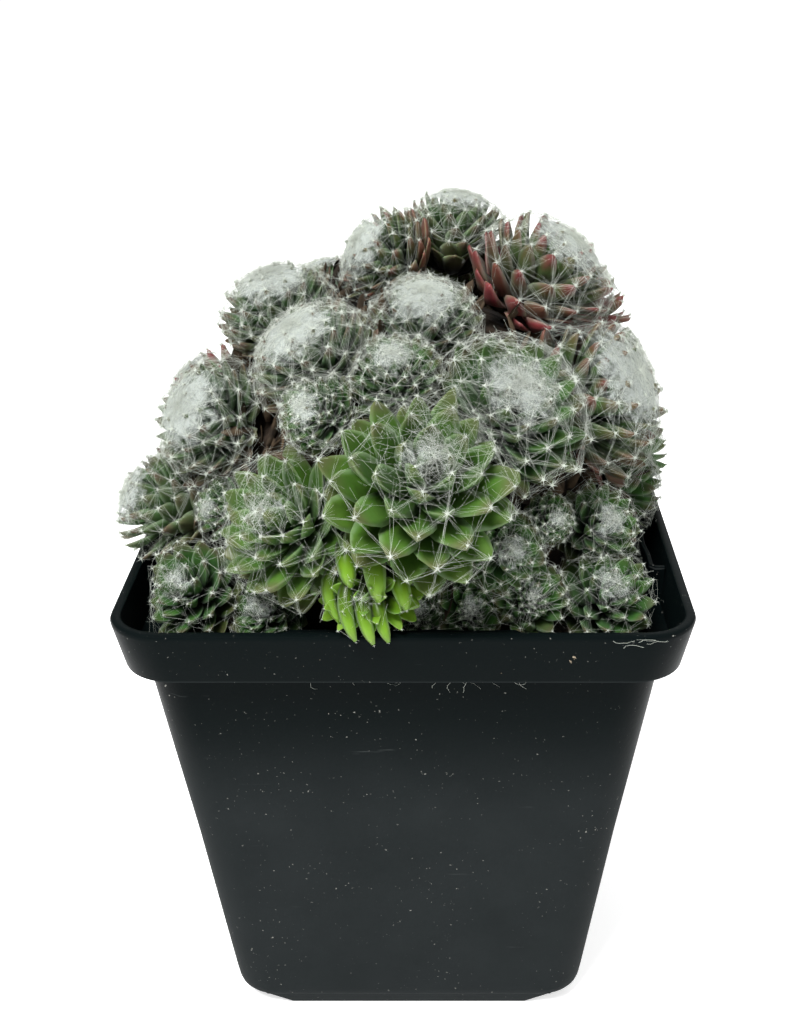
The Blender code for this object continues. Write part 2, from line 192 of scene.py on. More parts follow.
def dust_and_highlight_group():
    """Dust as a mineral film, specks and fine scratches, as masks that change over the surface; the film
    also draws a painted highlight line along the band's seam.
    """
    group, wiring, come = pattern_group(
        "pot_dust_and_highlight", {"Grain per metre": NUMBER, "Amount": NUMBER},
        {"Film and highlight": NUMBER, "Specks": NUMBER, "Scratches": NUMBER, "Height": NUMBER})
    place = wiring.place()

    def grain(share, detail, stretch=(1, 1, 1)):
        """A noise at this share of the grain, drawn out along an axis."""
        drawn = wiring.node("ShaderNodeMapping", {"Vector": place, "Scale": stretch}).outputs[0]
        scale = wiring.sum("MULTIPLY", come["Grain per metre"], share)
        return wiring.noise(drawn, scale, detail, Roughness=0.6)

    def spots(pattern, low, high, patches, patch_low, patch_high):
        """Sharp spots of a pattern, inside its patches only."""
        sharp = wiring.fade(pattern, low, high, kind="LINEAR")
        return wiring.sum("MULTIPLY", sharp, wiring.fade(patches, patch_low, patch_high, kind="LINEAR"))

    up = wiring.node("ShaderNodeSeparateXYZ", {0: place}).outputs["Z"]
    # the film is full low on the body and thin above it, so the pot is lighter and duller towards the
    # bottom
    lower = wiring.fade(up, FILM_FULL_BELOW * MM, FILM_THIN_ABOVE * MM, 1.0, 0.12)
    from_seam = wiring.sum("ABSOLUTE", wiring.sum("SUBTRACT", up, SEAM * MM))
    # painted highlight: a thin lighter line along the band's seam, carried in the film
    film_by_height_and_seam_highlight = wiring.sum("MAXIMUM", lower, wiring.fade(from_seam, 0.0, SEAM_HIGHLIGHT_REACH * MM, 0.9, 0.0))
    cloudy = wiring.fade(grain(0.06, 6), 0.3, 0.7, 0.7, 1.0, "LINEAR")
    wiring.node("NodeGroupOutput", {
        "Film and highlight": wiring.sum("MULTIPLY", wiring.sum("MULTIPLY", cloudy, come["Amount"]), film_by_height_and_seam_highlight),
        "Specks": spots(grain(1.6, 2), 0.70, 0.76, grain(0.09, 3), 0.44, 0.66),
        "Scratches": spots(grain(0.30, 3, (0.22, 0.22, 2.4)), 0.69, 0.74, grain(0.05, 3), 0.54, 0.64),
        "Height": grain(1.0, 4)})
    return group


def pot_plastic():
    """Black plastic with a bluish cast, duller and greyer under its cloudy mineral film and towards the
    bottom, with a painted highlight line along the band's seam.
    """
    made, wiring, shader = new_material("pot_plastic", {"IOR": 1.49, "Specular IOR Level": 0.025})
    dust_and_highlight = wiring.node("ShaderNodeGroup", node_tree=dust_and_highlight_group())
    dust_and_highlight.inputs["Grain per metre"].default_value = 1100.0
    dust_and_highlight.inputs["Amount"].default_value = 1.0
    colour = (0.0008, 0.0024, 0.0025)
    # the film's tone also paints the highlight line along the band's seam
    for mask, dust_and_highlight_tone in (("Film and highlight", (0.0128, 0.0156, 0.0162)), ("Scratches", (0.032, 0.036, 0.036)),
                        ("Specks", (0.30, 0.30, 0.27))):
        colour = wiring.blend(colour, dust_and_highlight_tone, dust_and_highlight.outputs[mask])
    wiring.put(shader.inputs["Base Color"], colour)
    dull = wiring.fade(dust_and_highlight.outputs["Film and highlight"], 0.0, 1.0, 0.36, 0.66, "LINEAR")
    wiring.put(shader.inputs["Roughness"], dull)
    wiring.relief(shader, dust_and_highlight.outputs["Height"], 0.12, 0.2 * MM)
    return made


plastic = pot_plastic()
band_foot = POT_HEIGHT - RIM_BAND
body_corner = RIM_CORNER - 1.5
inside = FOOT_HALF - WALL
pot_mesh = bmesh.new()
tube_of_loops(pot_mesh, [
    rounded_square(FOOT_HALF - 1.1, 0, 0, PLINTH_SIDE),
    rounded_square(FOOT_HALF - 0.8, 0, 0.35, PLINTH_SIDE + 0.3),
    rounded_square(FOOT_HALF - 0.3, 0, PLINTH - 0.2, PLINTH_SIDE_TOP - 0.4),
    rounded_square(FOOT_HALF - 0.1, 0, PLINTH, PLINTH_SIDE_TOP),
    rounded_square(FOOT_HALF, FOOT_CORNER, PLINTH + 0.1),
    rounded_square(FOOT_HALF + 0.28, FOOT_CORNER, PLINTH + 0.6),
    rounded_square(FOOT_HALF + 0.5, FOOT_CORNER, PLINTH + 1.4),
    rounded_square(FOOT_HALF + 0.8, FOOT_CORNER, PLINTH + 3.4),
    rounded_square((FOOT_HALF + SHOULDER_HALF) / 2, (FOOT_CORNER + body_corner) / 2,
                   (PLINTH + band_foot) / 2),
    rounded_square(SHOULDER_HALF - 0.15, body_corner, band_foot - 1.8),
    rounded_square(SHOULDER_HALF, body_corner, band_foot - 0.8),
    rounded_square(SHOULDER_HALF + 0.16, body_corner, band_foot - 0.3),
    rounded_square(SHOULDER_HALF + 0.6, body_corner, band_foot - 0.02),
    rounded_square(RIM_HALF - BAND_FLARE - 0.35, RIM_CORNER, band_foot),
    rounded_square(RIM_HALF - BAND_FLARE - 0.08, RIM_CORNER, band_foot + 0.1),
    rounded_square(RIM_HALF - BAND_FLARE, RIM_CORNER, band_foot + 0.35),
    rounded_square(RIM_HALF - 0.06, RIM_CORNER, POT_HEIGHT - 0.95),
    rounded_square(RIM_HALF, RIM_CORNER, POT_HEIGHT - 0.55),
    rounded_square(RIM_HALF - 0.14, RIM_CORNER - 0.14, POT_HEIGHT - 0.2),
    rounded_square(RIM_HALF - 0.5, RIM_CORNER - 0.5, POT_HEIGHT),
    rounded_square(RIM_HALF - LIP + 0.4, RIM_CORNER - LIP + 0.4, POT_HEIGHT),
    rounded_square(RIM_HALF - LIP + 0.1, RIM_CORNER - LIP + 0.1, POT_HEIGHT - 0.1),
    rounded_square(RIM_HALF - LIP, RIM_CORNER - LIP, POT_HEIGHT - 0.4),
    rounded_square(RIM_HALF - BAND_FLARE - WALL, RIM_CORNER - WALL, band_foot + WALL),
    rounded_square(SHOULDER_HALF - WALL, body_corner - WALL, band_foot + WALL - 0.5),
    rounded_square(inside, FOOT_CORNER - WALL, PLINTH + 2 * WALL),
    rounded_square(inside - 1.0, FOOT_CORNER - WALL - 1.0, PLINTH + WALL),
    rounded_square(inside - 1.5, 0, PLINTH + WALL, PLINTH_SIDE_TOP - WALL),
    rounded_square(inside - 2.0, 0, WALL, PLINTH_SIDE - WALL),
])
bmesh.ops.recalc_face_normals(pot_mesh, faces=pot_mesh.faces)
pot = piece_from(pot_mesh, "pot_shell", plastic)


def rod(name, start, end, radius, sides):
    """A plain prism from start to end, used as a drill."""
    bm = bmesh.new()
    axis = end - start
    bmesh.ops.create_cone(bm, cap_ends=True, segments=sides, radius1=radius, radius2=radius,
                          depth=axis.length)
    place = Matrix.Translation((start + end) / 2) @ axis.to_track_quat("Z", "Y").to_matrix().to_4x4()
    bmesh.ops.transform(bm, matrix=place, verts=bm.verts)
    return piece_from(bm, name)


def bore(obj, drills):
    """Cuts the drills out of the piece, then throws them away."""
    for drill in drills:
        modifier = obj.modifiers.new("bore", "BOOLEAN")
        modifier.operation = "DIFFERENCE"
        modifier.solver = "EXACT"
        modifier.object = drill
    graph = bpy.context.evaluated_depsgraph_get()
    bored = bpy.data.meshes.new_from_object(obj.evaluated_get(graph))
    obj.modifiers.clear()
    obj.data = bored
    for drill in drills:
        bpy.data.objects.remove(drill)


bore(pot, [
    rod("drill", Vector((x, y, -2)), Vector((x, y, 12)), DRAIN_RADIUS, 24)
    for x in (-DRAIN_PLACE, DRAIN_PLACE) for y in (-DRAIN_PLACE, DRAIN_PLACE)
])
pot.data.shade_smooth()
pot.data.set_sharp_from_angle(angle=math.radians(34))
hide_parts("pot")
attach(pot, "root")

# Four stacking pockets inside the band, moulded with the pot: a thin wall stands off the middle
# of each side and is closed at its ends, so that nested pots don't jam. They have warped a little.
POCKET_HALF = 17.6
POCKET_OFF = 2.6
POCKET_WALL = 0.8
POCKET_TOP = 1.2
POCKET_SAGS_WITHIN = 13.0


def pocket(number):
    """One pocket: a U-shaped thin wall against the inside of a side of the band."""
    shake = random.Random(40 + number)
    wall_at = -(RIM_HALF - LIP)
    top, foot = POT_HEIGHT - POCKET_TOP, band_foot + WALL
    path = [(-POCKET_HALF, 0.4), (-POCKET_HALF, POCKET_OFF - 0.7), (-POCKET_HALF + 0.7, POCKET_OFF)]
    path += [(x, POCKET_OFF) for x in (-12, -8, -4, 0, 4, 8, 12)]
    path += [(POCKET_HALF - 0.7, POCKET_OFF), (POCKET_HALF, POCKET_OFF - 0.7), (POCKET_HALF, 0.4)]
    bm = bmesh.new()
    sections = []
    for i, (along, off) in enumerate(path):
        before, after = path[max(i - 1, 0)], path[min(i + 1, len(path) - 1)]
        run = Vector((after[0] - before[0], after[1] - before[1])).normalized()
        side = Vector((-run.y, run.x)) * POCKET_WALL / 2
        warped = abs(along) < POCKET_SAGS_WITHIN
        sag = shake.uniform(-0.25, 0.05) if warped else 0.0
        lean = shake.uniform(-0.15, 0.35) if warped else 0.0
        inner, outer = (along + side.x, off + side.y), (along - side.x, off - side.y)
        sections.append([
            Vector((outer[0], wall_at + outer[1], foot)),
            Vector((outer[0], wall_at + outer[1] + lean, top + sag)),
            Vector((inner[0], wall_at + inner[1] + lean, top + sag)),
            Vector((inner[0], wall_at + inner[1], foot)),
        ])
    tube_of_loops(bm, sections)
    turn = Matrix.Rotation(math.radians(90 * number), 3, "Z")
    bmesh.ops.rotate(bm, cent=(0, 0, 0), matrix=turn, verts=bm.verts)
    bmesh.ops.recalc_face_normals(bm, faces=bm.faces)
    made = piece_from(bm, f"stacking_pocket_{number + 1}", plastic)
    edge = made.modifiers.new("soft edge", "BEVEL")
    edge.width = 0.15 * MM
    edge.segments = 2
    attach(made, "root")


for number in range(4):
    pocket(number)

# The label panel: a rounded rectangle that stands a hair proud of the front wall, left bare.
PANEL_WIDE, PANEL_TALL, PANEL_CORNER = 34.0, 16.5, 3.2
PANEL_PROUD = 0.16
PANEL_MIDDLE = 44.5
PANEL_ARC_STEPS = 6
panel_mesh = bmesh.new()


def body_half(z):
    """Half the body's width at this height, on its sloping wall."""
    slope = (SHOULDER_HALF - FOOT_HALF - 1.3) / (band_foot - 0.8 - PLINTH - 1.4)
    return FOOT_HALF + 0.5 + slope * (z - PLINTH - 1.4)


def panel_outline(inset, proud):
    """Points round the panel, on the sloping front wall."""
    points = []
    for sx, sz, start in ((1, 1, 0), (-1, 1, 90), (-1, -1, 180), (1, -1, 270)):
        for step in range(PANEL_ARC_STEPS + 1):
            angle = math.radians(start + 90 * step / PANEL_ARC_STEPS)
            reach = PANEL_CORNER - inset
            x = sx * (PANEL_WIDE / 2 - PANEL_CORNER) + reach * math.cos(angle)
            z = PANEL_MIDDLE + sz * (PANEL_TALL / 2 - PANEL_CORNER) + reach * math.sin(angle)
            points.append(Vector((x, -body_half(z) - proud, z)))
    return points


tube_of_loops(panel_mesh, [panel_outline(0, -0.4), panel_outline(0, PANEL_PROUD - 0.08),
                           panel_outline(0.1, PANEL_PROUD), panel_outline(0.55, PANEL_PROUD),
                           panel_outline(0.7, PANEL_PROUD - 0.1), panel_outline(0.75, 0.02)])
bmesh.ops.recalc_face_normals(panel_mesh, faces=panel_mesh.faces)
panel = piece_from(panel_mesh, "label_panel", plastic)
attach(panel, "root")


# The root ball: dark peat with grit, level under the rim. Its top is a crumbly skin, and
# loose crumbs and pale grit lie on it where the plant leaves it bare.
SOIL_TOP = 71.0


def earth_group():
    """Crumbly organic matter: a mottle between two tones, and its relief."""
    group, wiring, come = pattern_group(
        "earth_mottle", {"Lumps per metre": NUMBER, "Dark": COLOUR, "Light": COLOUR},
        {"Colour": COLOUR, "Height": NUMBER})
    lumps = wiring.noise(wiring.place(), come["Lumps per metre"], 8)
    mottle = wiring.blend(come["Dark"], come["Light"], wiring.fade(lumps, 0.35, 0.72, kind="LINEAR"))
    wiring.node("NodeGroupOutput", {"Colour": mottle, "Height": lumps})
    return group


earth_mottle = earth_group()


def earth(name, dark, light, scale):
    """Matt organic matter, mottled from dark to light."""
    made, wiring, shader = new_material(name, {"Roughness": 0.93, "Specular IOR Level": 0.25})
    mottle = wiring.node("ShaderNodeGroup", node_tree=earth_mottle)
    for label, value in (("Lumps per metre", scale), ("Dark", dark), ("Light", light)):
        wiring.put(mottle.inputs[label], value)
    wiring.put(shader.inputs["Base Color"], mottle.outputs["Colour"])
    wiring.relief(shader, mottle.outputs["Height"], 0.9, 0.8 * MM)
    return made


peat = earth("peat", (0.004, 0.003, 0.002), (0.035, 0.025, 0.016), 900)
soil_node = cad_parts["potting_soil"]
for slot in soil_node.material_slots:
    slot.material = peat
# the old growth's dead leaves in their own browns, darkened further as painted shade for the deep gaps
# between the rosettes
litter = earth("dead_leaf_litter_and_painted_shade", (0.005, 0.0035, 0.0025), (0.040, 0.026, 0.016), 420)
mat_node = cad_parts["stem_mat"]
for slot in mat_node.material_slots:
    slot.material = litter


# The rosettes: each grows on its own short stem. Fleshy, keeled leaves with a sharp point stand
# in a tight spiral, the outer ones spread and older, the inner ones folded over the heart.
# the ball of old growth that carries the upper rosettes
MAT_RADIUS = 33.0
MAT_CENTRE = Vector((0.0, 0.0, 88.0))
GAP = 0.3
# the room that a rosette has: its own reach, half-way walls to its neighbours, and the pot's rim
REACH = 1.06
PRESS_WITHIN = 1.3          # of the sum of both radii: farther neighbours don't press
SIDE_SHARE = (0.34, 0.66)
INTERLOCK = 0.75            # how far leaves push past the half-way wall into a neighbour's gaps
SKIRT_SHARE = 0.45          # of the radius: how far under its heart a rosette still has leaves
KEEP_INSIDE, KEEP_CORNER, KEEP_ABOVE = 39.6, 53.8, POT_HEIGHT + 0.6
# rosettes this far out and this low grow from the soil, the others from the ball
ROOTED_BEYOND, ROOTED_BELOW, ROOTED_INWARD = 43.0, 84.0, 0.97
# the web is thinner low in the pot, where less sun falls
LEAST_SUN, MORE_SUN = 0.5, 0.8
SHADED_UNDER, SUNNED_AFTER = 82.0, 38.0
# each row: the heart, the radius, the turn from the front and the lift in degrees, and the kind
ROSETTES = (
    ((8, 10, 129), 9.5, 120, 82, "olive"),
    ((-3, 0, 127), 9.0, -66, 34, "brown"),
    ((22, 1, 123), 13.0, 76, 52, "red"),
    ((-20, -7, 120), 10.0, -50, 72, "pale"),
    ((3, -15, 120), 9.5, 5, 72, "pale"),
    ((-13, -23, 117), 10.5, -58, 55, "pale"),
    ((-1, -29, 116), 8.0, -5, 62, "green"),
    ((-12, -32, 112), 6.5, -38, 30, "green"),
    ((15, -29, 110), 13.5, 22, 50, "green"),
    ((29.5, -9, 106), 14.5, 64, 34, "brown"),
    ((-30, -14, 104), 11.0, -52, 34, "pale"),
    ((3, -40, 104), 15.5, 12, 44, "fresh"),
    ((-16, -35, 95), 12.5, -36, 34, "fresh"),
    ((-39, -12, 88.2), 11.0, -76, 26, "olive"),
    ((-28, -24, 93), 5.5, -48, 20, "green"),
    ((22, -32, 95), 4.2, 30, 22, "green"),
    ((15, -37, 92), 6.6, 18, 26, "green"),
    ((30, -24, 90), 7.5, 30, 34, "green"),
    ((-5, -41, 87), 8.2, -6, 20, "lime"),
    ((19, -37, 84), 6.2, 16, 36, "green"),
    ((10, -37, 82), 5.8, 6, 34, "green"),
    ((2, -36, 81), 6.0, 0, 34, "green"),
    ((-21, -34, 80), 6.2, -20, 40, "green"),
    ((-33, -31, 82), 8.6, -24, 42, "green"),
    ((31, -31, 81), 8.6, 20, 48, "green"),
    # the sides and the back
    ((4, 25, 119), 11.5, 172, 60, "olive"),
    ((-14, 20, 115), 9.5, -135, 64, "pale"),
    ((28, 16, 114.5), 11.5, 135, 54, "red"),
    ((33, 13, 103.5), 12.0, 104, 30, "green"),
    ((20, 31, 104), 12.0, 146, 32, "brown"),
    ((-2, 35, 104), 12.0, 182, 32, "green"),
    ((-22, 29, 105), 12.0, -145, 32, "olive"),
    ((-34, 12, 99), 10.5, -108, 34, "red"),
    ((36, -1, 88), 9.5, 88, 20, "green"),
    ((38.5, 17, 88), 10.5, 108, 20, "green"),
    ((31, 33, 86), 10.5, 136, 28, "olive"),
    ((13, 40, 88), 10.5, 164, 20, "green"),
    ((-7, 41, 87), 10.0, 190, 20, "green"),
    ((-26, 36, 87), 10.5, -146, 22, "fresh"),
    ((-37, 22, 86), 10.0, -114, 20, "green"),
    ((-38, 8, 87), 9.5, -92, 20, "green"),
)
# a leaf's outline: shares of its length, and of its width there
LEAF_STATIONS = (0.0, 0.22, 0.48, 0.70, 0.84, 0.93, 0.98)
LEAF_WIDTHS = (0.48, 0.74, 0.98, 0.97, 0.74, 0.45, 0.20)
# round the leaf: its right edge, flat upper face, left edge, and the keel underneath
LEAF_SECTION = ((1, 0), (0.5, 0.40), (-0.5, 0.40), (-1, 0), (-0.5, -0.62), (0, -1), (0.5, -0.62))


def leaf_shape(name, curl, plump, keel):
    """A leaf one unit long and one wide along +X: curled up, plump and keeled underneath."""
    bm = bmesh.new()
    along_layer = bm.verts.layers.float.new("leaf_along")
    across_layer = bm.verts.layers.float.new("leaf_across")
    rows = []
    for station, width in zip(LEAF_STATIONS, LEAF_WIDTHS):
        thick = plump * (0.35 + 0.65 * width)
        row = []
        for y, z in LEAF_SECTION:
            height = z * thick * (1 if z > 0 else 1 + keel * (1 - abs(y)))
            cup = 0.10 * y * y * width
            vert = bm.verts.new((station, y * width / 2, height + cup + curl * station ** 2.2))
            vert[along_layer] = station
            vert[across_layer] = abs(y)
            row.append(vert)
        rows.append(row)
    tip = bm.verts.new((1.0, 0.0, curl + 0.03))
    tip[along_layer] = 1.0
    count = len(LEAF_SECTION)
    for lower, upper in zip(rows, rows[1:]):
        for i in range(count):
            j = (i + 1) % count
            bm.faces.new((lower[i], lower[j], upper[j], upper[i]))
    for i in range(count):
        bm.faces.new((rows[-1][i], rows[-1][(i + 1) % count], tip))
    bm.faces.new(rows[0])
    bmesh.ops.recalc_face_normals(bm, faces=bm.faces)
    for face in bm.faces:
        face.smooth = True
    mesh = bpy.data.meshes.new(name)
    bm.to_mesh(mesh)
    bm.free()
    return bpy.data.objects.new(name, mesh)


LEAF_FORMS = (
    leaf_shape("spent_leaf", 0.15, 0.10, 0.3),
    leaf_shape("grown_leaf", 0.50, 0.17, 0.45),
    leaf_shape("young_leaf", 0.75, 0.23, 0.45),
)
SPENT_UNTIL, GROWN_UNTIL = 0.12, 0.58
GOLDEN_ANGLE = math.pi * (3 - math.sqrt(5))
DOME_POWER = 1.6            # how soon the dome of leaf points flattens towards the heart
FOOT_DEEP = 0.72            # how far under the heart the lowest leaves grow, as a share of the radius


def maker_tree(name, inputs):
    """A geometry node tree with these named inputs: the tree, its wiring and what comes in."""
    tree = bpy.data.node_groups.new(name, "GeometryNodeTree")
    for label, kind in {"Geometry": "NodeSocketGeometry", **inputs}.items():
        tree.interface.new_socket(label, in_out="INPUT", socket_type=kind)
    tree.interface.new_socket("Geometry", in_out="OUTPUT", socket_type="NodeSocketGeometry")
    wiring = Wiring(tree)
    return tree, wiring, wiring.node("NodeGroupInput").outputs


def end_tree(wiring, flow, skin):
    """Ends a maker tree: its instances become real and take their skin."""
    real = wiring.node("GeometryNodeRealizeInstances", {0: flow}).outputs[0]
    skinned = wiring.node("GeometryNodeSetMaterial", {"Geometry": real, "Material": skin}).outputs[0]
    wiring.node("NodeGroupOutput", {0: skinned})


def spiral_tree():
    """Leaves in the golden-angle spiral, their points on a dome over the heart (+Z)."""
    tree, wiring, come = maker_tree("leaf_spiral", {
        "Leaves": "NodeSocketInt", "Radius": NUMBER, "Leaf width": NUMBER, "Lowest polar angle": NUMBER,
        "Heart height": NUMBER, "Seed": "NodeSocketInt", "Skin": "NodeSocketMaterial"})
    sum_of = wiring.sum
    radius = come["Radius"]
    index = wiring.node("GeometryNodeInputIndex").outputs[0]

    def chance(low, high, salt):
        """A random number for each leaf."""
        inputs = {2: low, 3: high, "ID": index, "Seed": sum_of("ADD", come["Seed"], salt)}
        return wiring.node("FunctionNodeRandomValue", inputs, data_type="FLOAT").outputs[1]

    def mixed(low, high, share):
        """A value between two others."""
        return sum_of("MULTIPLY_ADD", share, high - low, low)

    age = sum_of("DIVIDE", index, sum_of("SUBTRACT", come["Leaves"], 1.0))
    turn = sum_of("ADD", sum_of("MULTIPLY", index, GOLDEN_ANGLE), chance(-0.09, 0.09, 1))
    # the leaf's point: its polar angle from the axis, and how far out the dome lies there
    left = sum_of("POWER", sum_of("SUBTRACT", 1.0, age), 0.60)
    polar = sum_of("ADD", sum_of("MULTIPLY", left, come["Lowest polar angle"]), chance(-0.05, 0.05, 2))
    falls = sum_of("COSINE", polar)
    flatter = sum_of("POWER", sum_of("MAXIMUM", falls, 0.0), DOME_POWER)
    shrink = sum_of("MULTIPLY", flatter, sum_of("SUBTRACT", 1.0, come["Heart height"]))
    reach = sum_of("MULTIPLY", sum_of("SUBTRACT", 1.0, shrink), chance(0.93, 1.03, 3))
    reach = sum_of("MULTIPLY", reach, radius)
    tip_out = sum_of("MULTIPLY", reach, sum_of("SINE", polar))
    tip_up = sum_of("MULTIPLY", reach, falls)
    # the leaf's foot on the stem, and the leaf between the two
    foot_up = sum_of("MULTIPLY", radius, mixed(-FOOT_DEEP, 0.06, age))
    foot_out = sum_of("MULTIPLY", radius, mixed(0.15, 0.0, age))
    run_out = sum_of("SUBTRACT", tip_out, foot_out)
    run_up = sum_of("SUBTRACT", tip_up, foot_up)
    squares = sum_of("ADD", sum_of("MULTIPLY", run_out, run_out), sum_of("MULTIPLY", run_up, run_up))
    long = sum_of("SQRT", squares)
    # spent leaves lie lowest, grown ones stand over them, and young ones fold over the heart
    grown, young = sum_of("GREATER_THAN", age, SPENT_UNTIL), sum_of("GREATER_THAN", age, GROWN_UNTIL)
    wide = sum_of("MULTIPLY", radius, mixed(1.0, 0.50, age))
    wide = sum_of("MULTIPLY", come["Leaf width"], wide)
    # a curled leaf is laid lower by its curl, so that its point still ends on the dome
    curled = sum_of("ADD", sum_of("MULTIPLY_ADD", grown, 0.35, 0.18), sum_of("MULTIPLY", young, 0.25))
    laid = sum_of("ARCTAN2", sum_of("MULTIPLY", curled, wide), long)
    lift = sum_of("SUBTRACT", sum_of("ARCTAN2", run_up, run_out), laid)
    wide = sum_of("MULTIPLY", wide, chance(0.92, 1.08, 4))

    x = sum_of("MULTIPLY", foot_out, sum_of("COSINE", turn))
    y = sum_of("MULTIPLY", foot_out, sum_of("SINE", turn))
    foot = wiring.node("ShaderNodeCombineXYZ", {0: x, 1: y, 2: foot_up}).outputs[0]
    feet = wiring.node("GeometryNodePoints", {"Count": come["Leaves"], "Position": foot}).outputs[0]
    angles = {0: chance(-0.12, 0.12, 5), 1: sum_of("MULTIPLY", lift, -1.0), 2: turn}
    turned = wiring.node("ShaderNodeCombineXYZ", angles).outputs[0]
    size = wiring.node("ShaderNodeCombineXYZ", {0: long, 1: wide, 2: wide}).outputs[0]
    forms = wiring.node("GeometryNodeGeometryToInstance")
    for leaf in reversed(LEAF_FORMS):
        form = wiring.node("GeometryNodeObjectInfo", {"Object": leaf, "As Instance": True})
        wiring.put(forms.inputs[0], form.outputs["Geometry"])
    flow = wiring.node("GeometryNodeInstanceOnPoints", {
        "Points": feet, "Instance": forms.outputs[0], "Pick Instance": True,
        "Instance Index": sum_of("ADD", grown, young), "Scale": size,
        "Rotation": wiring.node("FunctionNodeEulerToRotation", {0: turned}).outputs[0]}).outputs[0]
    for label, value in (("leaf_age", age), ("leaf_luck", chance(0.0, 1.0, 6)), ("leaf_turn", turn)):
        inputs = {"Geometry": flow, "Name": label, "Value": value}
        flow = wiring.node("GeometryNodeStoreNamedAttribute", inputs, data_type="FLOAT",
                           domain="INSTANCE").outputs[0]
    end_tree(wiring, flow, come["Skin"])
    return tree


def skin_group():
    """A leaf's tones: inner to outer leaves, foot to point, at its margins, flushed and mottled, and
    painted shade darkening it towards its foot.
    """
    tones = {label: COLOUR for label in ("Young", "Grown", "Old", "Tip", "Painted shade")}
    group, wiring, come = pattern_group("leaf_skin", {**tones, "Flush": NUMBER},
                                        {"Colour": COLOUR, "Height": NUMBER})
    fade, blend = wiring.fade, wiring.blend

    def both(a, b):
        """Where two masks meet."""
        return wiring.sum("MULTIPLY", a, b)

    def grown_by(share, more):
        """The grown leaf's tone, darker or lighter."""
        inputs = {0: come["Grown"], 1: (share, share, share), 2: (more, more, more)}
        return wiring.node("ShaderNodeVectorMath", inputs, operation="MULTIPLY_ADD").outputs[0]

    place = wiring.place()
    blotch, patch = wiring.noise(place, 420, 5), wiring.noise(place, 90, 2)
    age, luck = wiring.attribute("leaf_age"), wiring.attribute("leaf_luck")
    along, across = wiring.attribute("leaf_along"), wiring.attribute("leaf_across")
    colour = blend(come["Grown"], come["Young"], fade(age, 0.30, 0.85))
    colour = blend(colour, grown_by(0.62, 0.0), fade(blotch, 0.45, 0.75))
    colour = blend(colour, grown_by(1.45, 0.01), fade(luck, 0.55, 1.0, 0.0, 0.55))
    aged = both(fade(age, 0.10, 0.46, 1.0, 0.0), fade(patch, 0.30, 0.60, 0.35, 1.0))
    colour = blend(colour, come["Old"], both(aged, come["Flush"]))
    margin = both(fade(across, 0.62, 1.0, 0.0, 0.62), fade(along, 0.2, 0.6))
    colour = blend(colour, grown_by(1.1, 0.12), margin)
    # painted shade: each leaf is painted darker towards its foot, deep among the other leaves
    colour = blend(come["Painted shade"], colour, fade(along, 0.22, 0.86))
    colour = blend(colour, come["Tip"], both(fade(along, 0.74, 0.98), fade(luck, 0.0, 0.9, 0.25, 1.0)))
    wiring.node("NodeGroupOutput", {"Colour": colour, "Height": blotch})
    return group


leaf_skin = skin_group()
# painted shade: the leaf's foot is painted darker than its own tone
PAINTED_SHADE_SHARE = 0.04         # how much of the grown leaf's tone is left at its shaded foot


def flesh(name, young, grown, old, tip, shade=None, gloss=0.42, flush=0.5):
    """A leaf's skin: these tones in the shared pattern, softly glossy, some light through the flesh."""
    made, wiring, shader = new_material(name, {
        "Roughness": gloss, "Specular IOR Level": 0.24, "Subsurface Weight": 0.18,
        "Subsurface Radius": (0.4, 0.9, 0.2), "Subsurface Scale": 1.2 * MM,
        "Sheen Weight": 0.05, "Sheen Roughness": 0.45, "Sheen Tint": (0.80, 0.92, 0.78, 1)})
    skin = wiring.node("ShaderNodeGroup", node_tree=leaf_skin)
    shade = shade or tuple(PAINTED_SHADE_SHARE * value for value in grown)
    for label, value in (("Young", young), ("Grown", grown), ("Old", old), ("Tip", tip), ("Painted shade", shade),
                         ("Flush", flush)):
        wiring.put(skin.inputs[label], value)
    wiring.put(shader.inputs["Base Color"], skin.outputs["Colour"])
    wiring.relief(shader, skin.outputs["Height"], 0.30, 0.2 * MM)
    return made


# each kind's tones: young, grown and old leaves, and the points
SKINS = {
    "green": flesh("deep_green_leaf", (0.034, 0.103, 0.015), (0.021, 0.071, 0.013),
                   (0.080, 0.062, 0.022), (0.060, 0.052, 0.026)),
    # the fresh leaves get a lighter painted shade at their feet
    "fresh": flesh("fresh_green_leaf", (0.030, 0.084, 0.011), (0.052, 0.122, 0.012),
                   (0.115, 0.130, 0.028), (0.085, 0.095, 0.036), shade=(0.022, 0.062, 0.003)),
    "lime": flesh("lime_leaf", (0.080, 0.188, 0.008), (0.104, 0.220, 0.007),
                  (0.112, 0.210, 0.012), (0.130, 0.220, 0.026), gloss=0.36),
    "olive": flesh("olive_leaf", (0.046, 0.103, 0.031), (0.050, 0.093, 0.029),
                   (0.115, 0.085, 0.044), (0.085, 0.060, 0.040), flush=0.6),
    "pale": flesh("hoary_leaf", (0.050, 0.107, 0.036), (0.031, 0.077, 0.021),
                  (0.115, 0.066, 0.042), (0.085, 0.056, 0.038), flush=0.8),
    "brown": flesh("bronzed_leaf", (0.041, 0.095, 0.022), (0.041, 0.071, 0.021),
                   (0.150, 0.056, 0.036), (0.120, 0.045, 0.032), flush=1.0),
    "red": flesh("flushed_leaf", (0.045, 0.086, 0.022), (0.050, 0.052, 0.021),
                 (0.200, 0.026, 0.034), (0.130, 0.030, 0.030), flush=1.0),
}


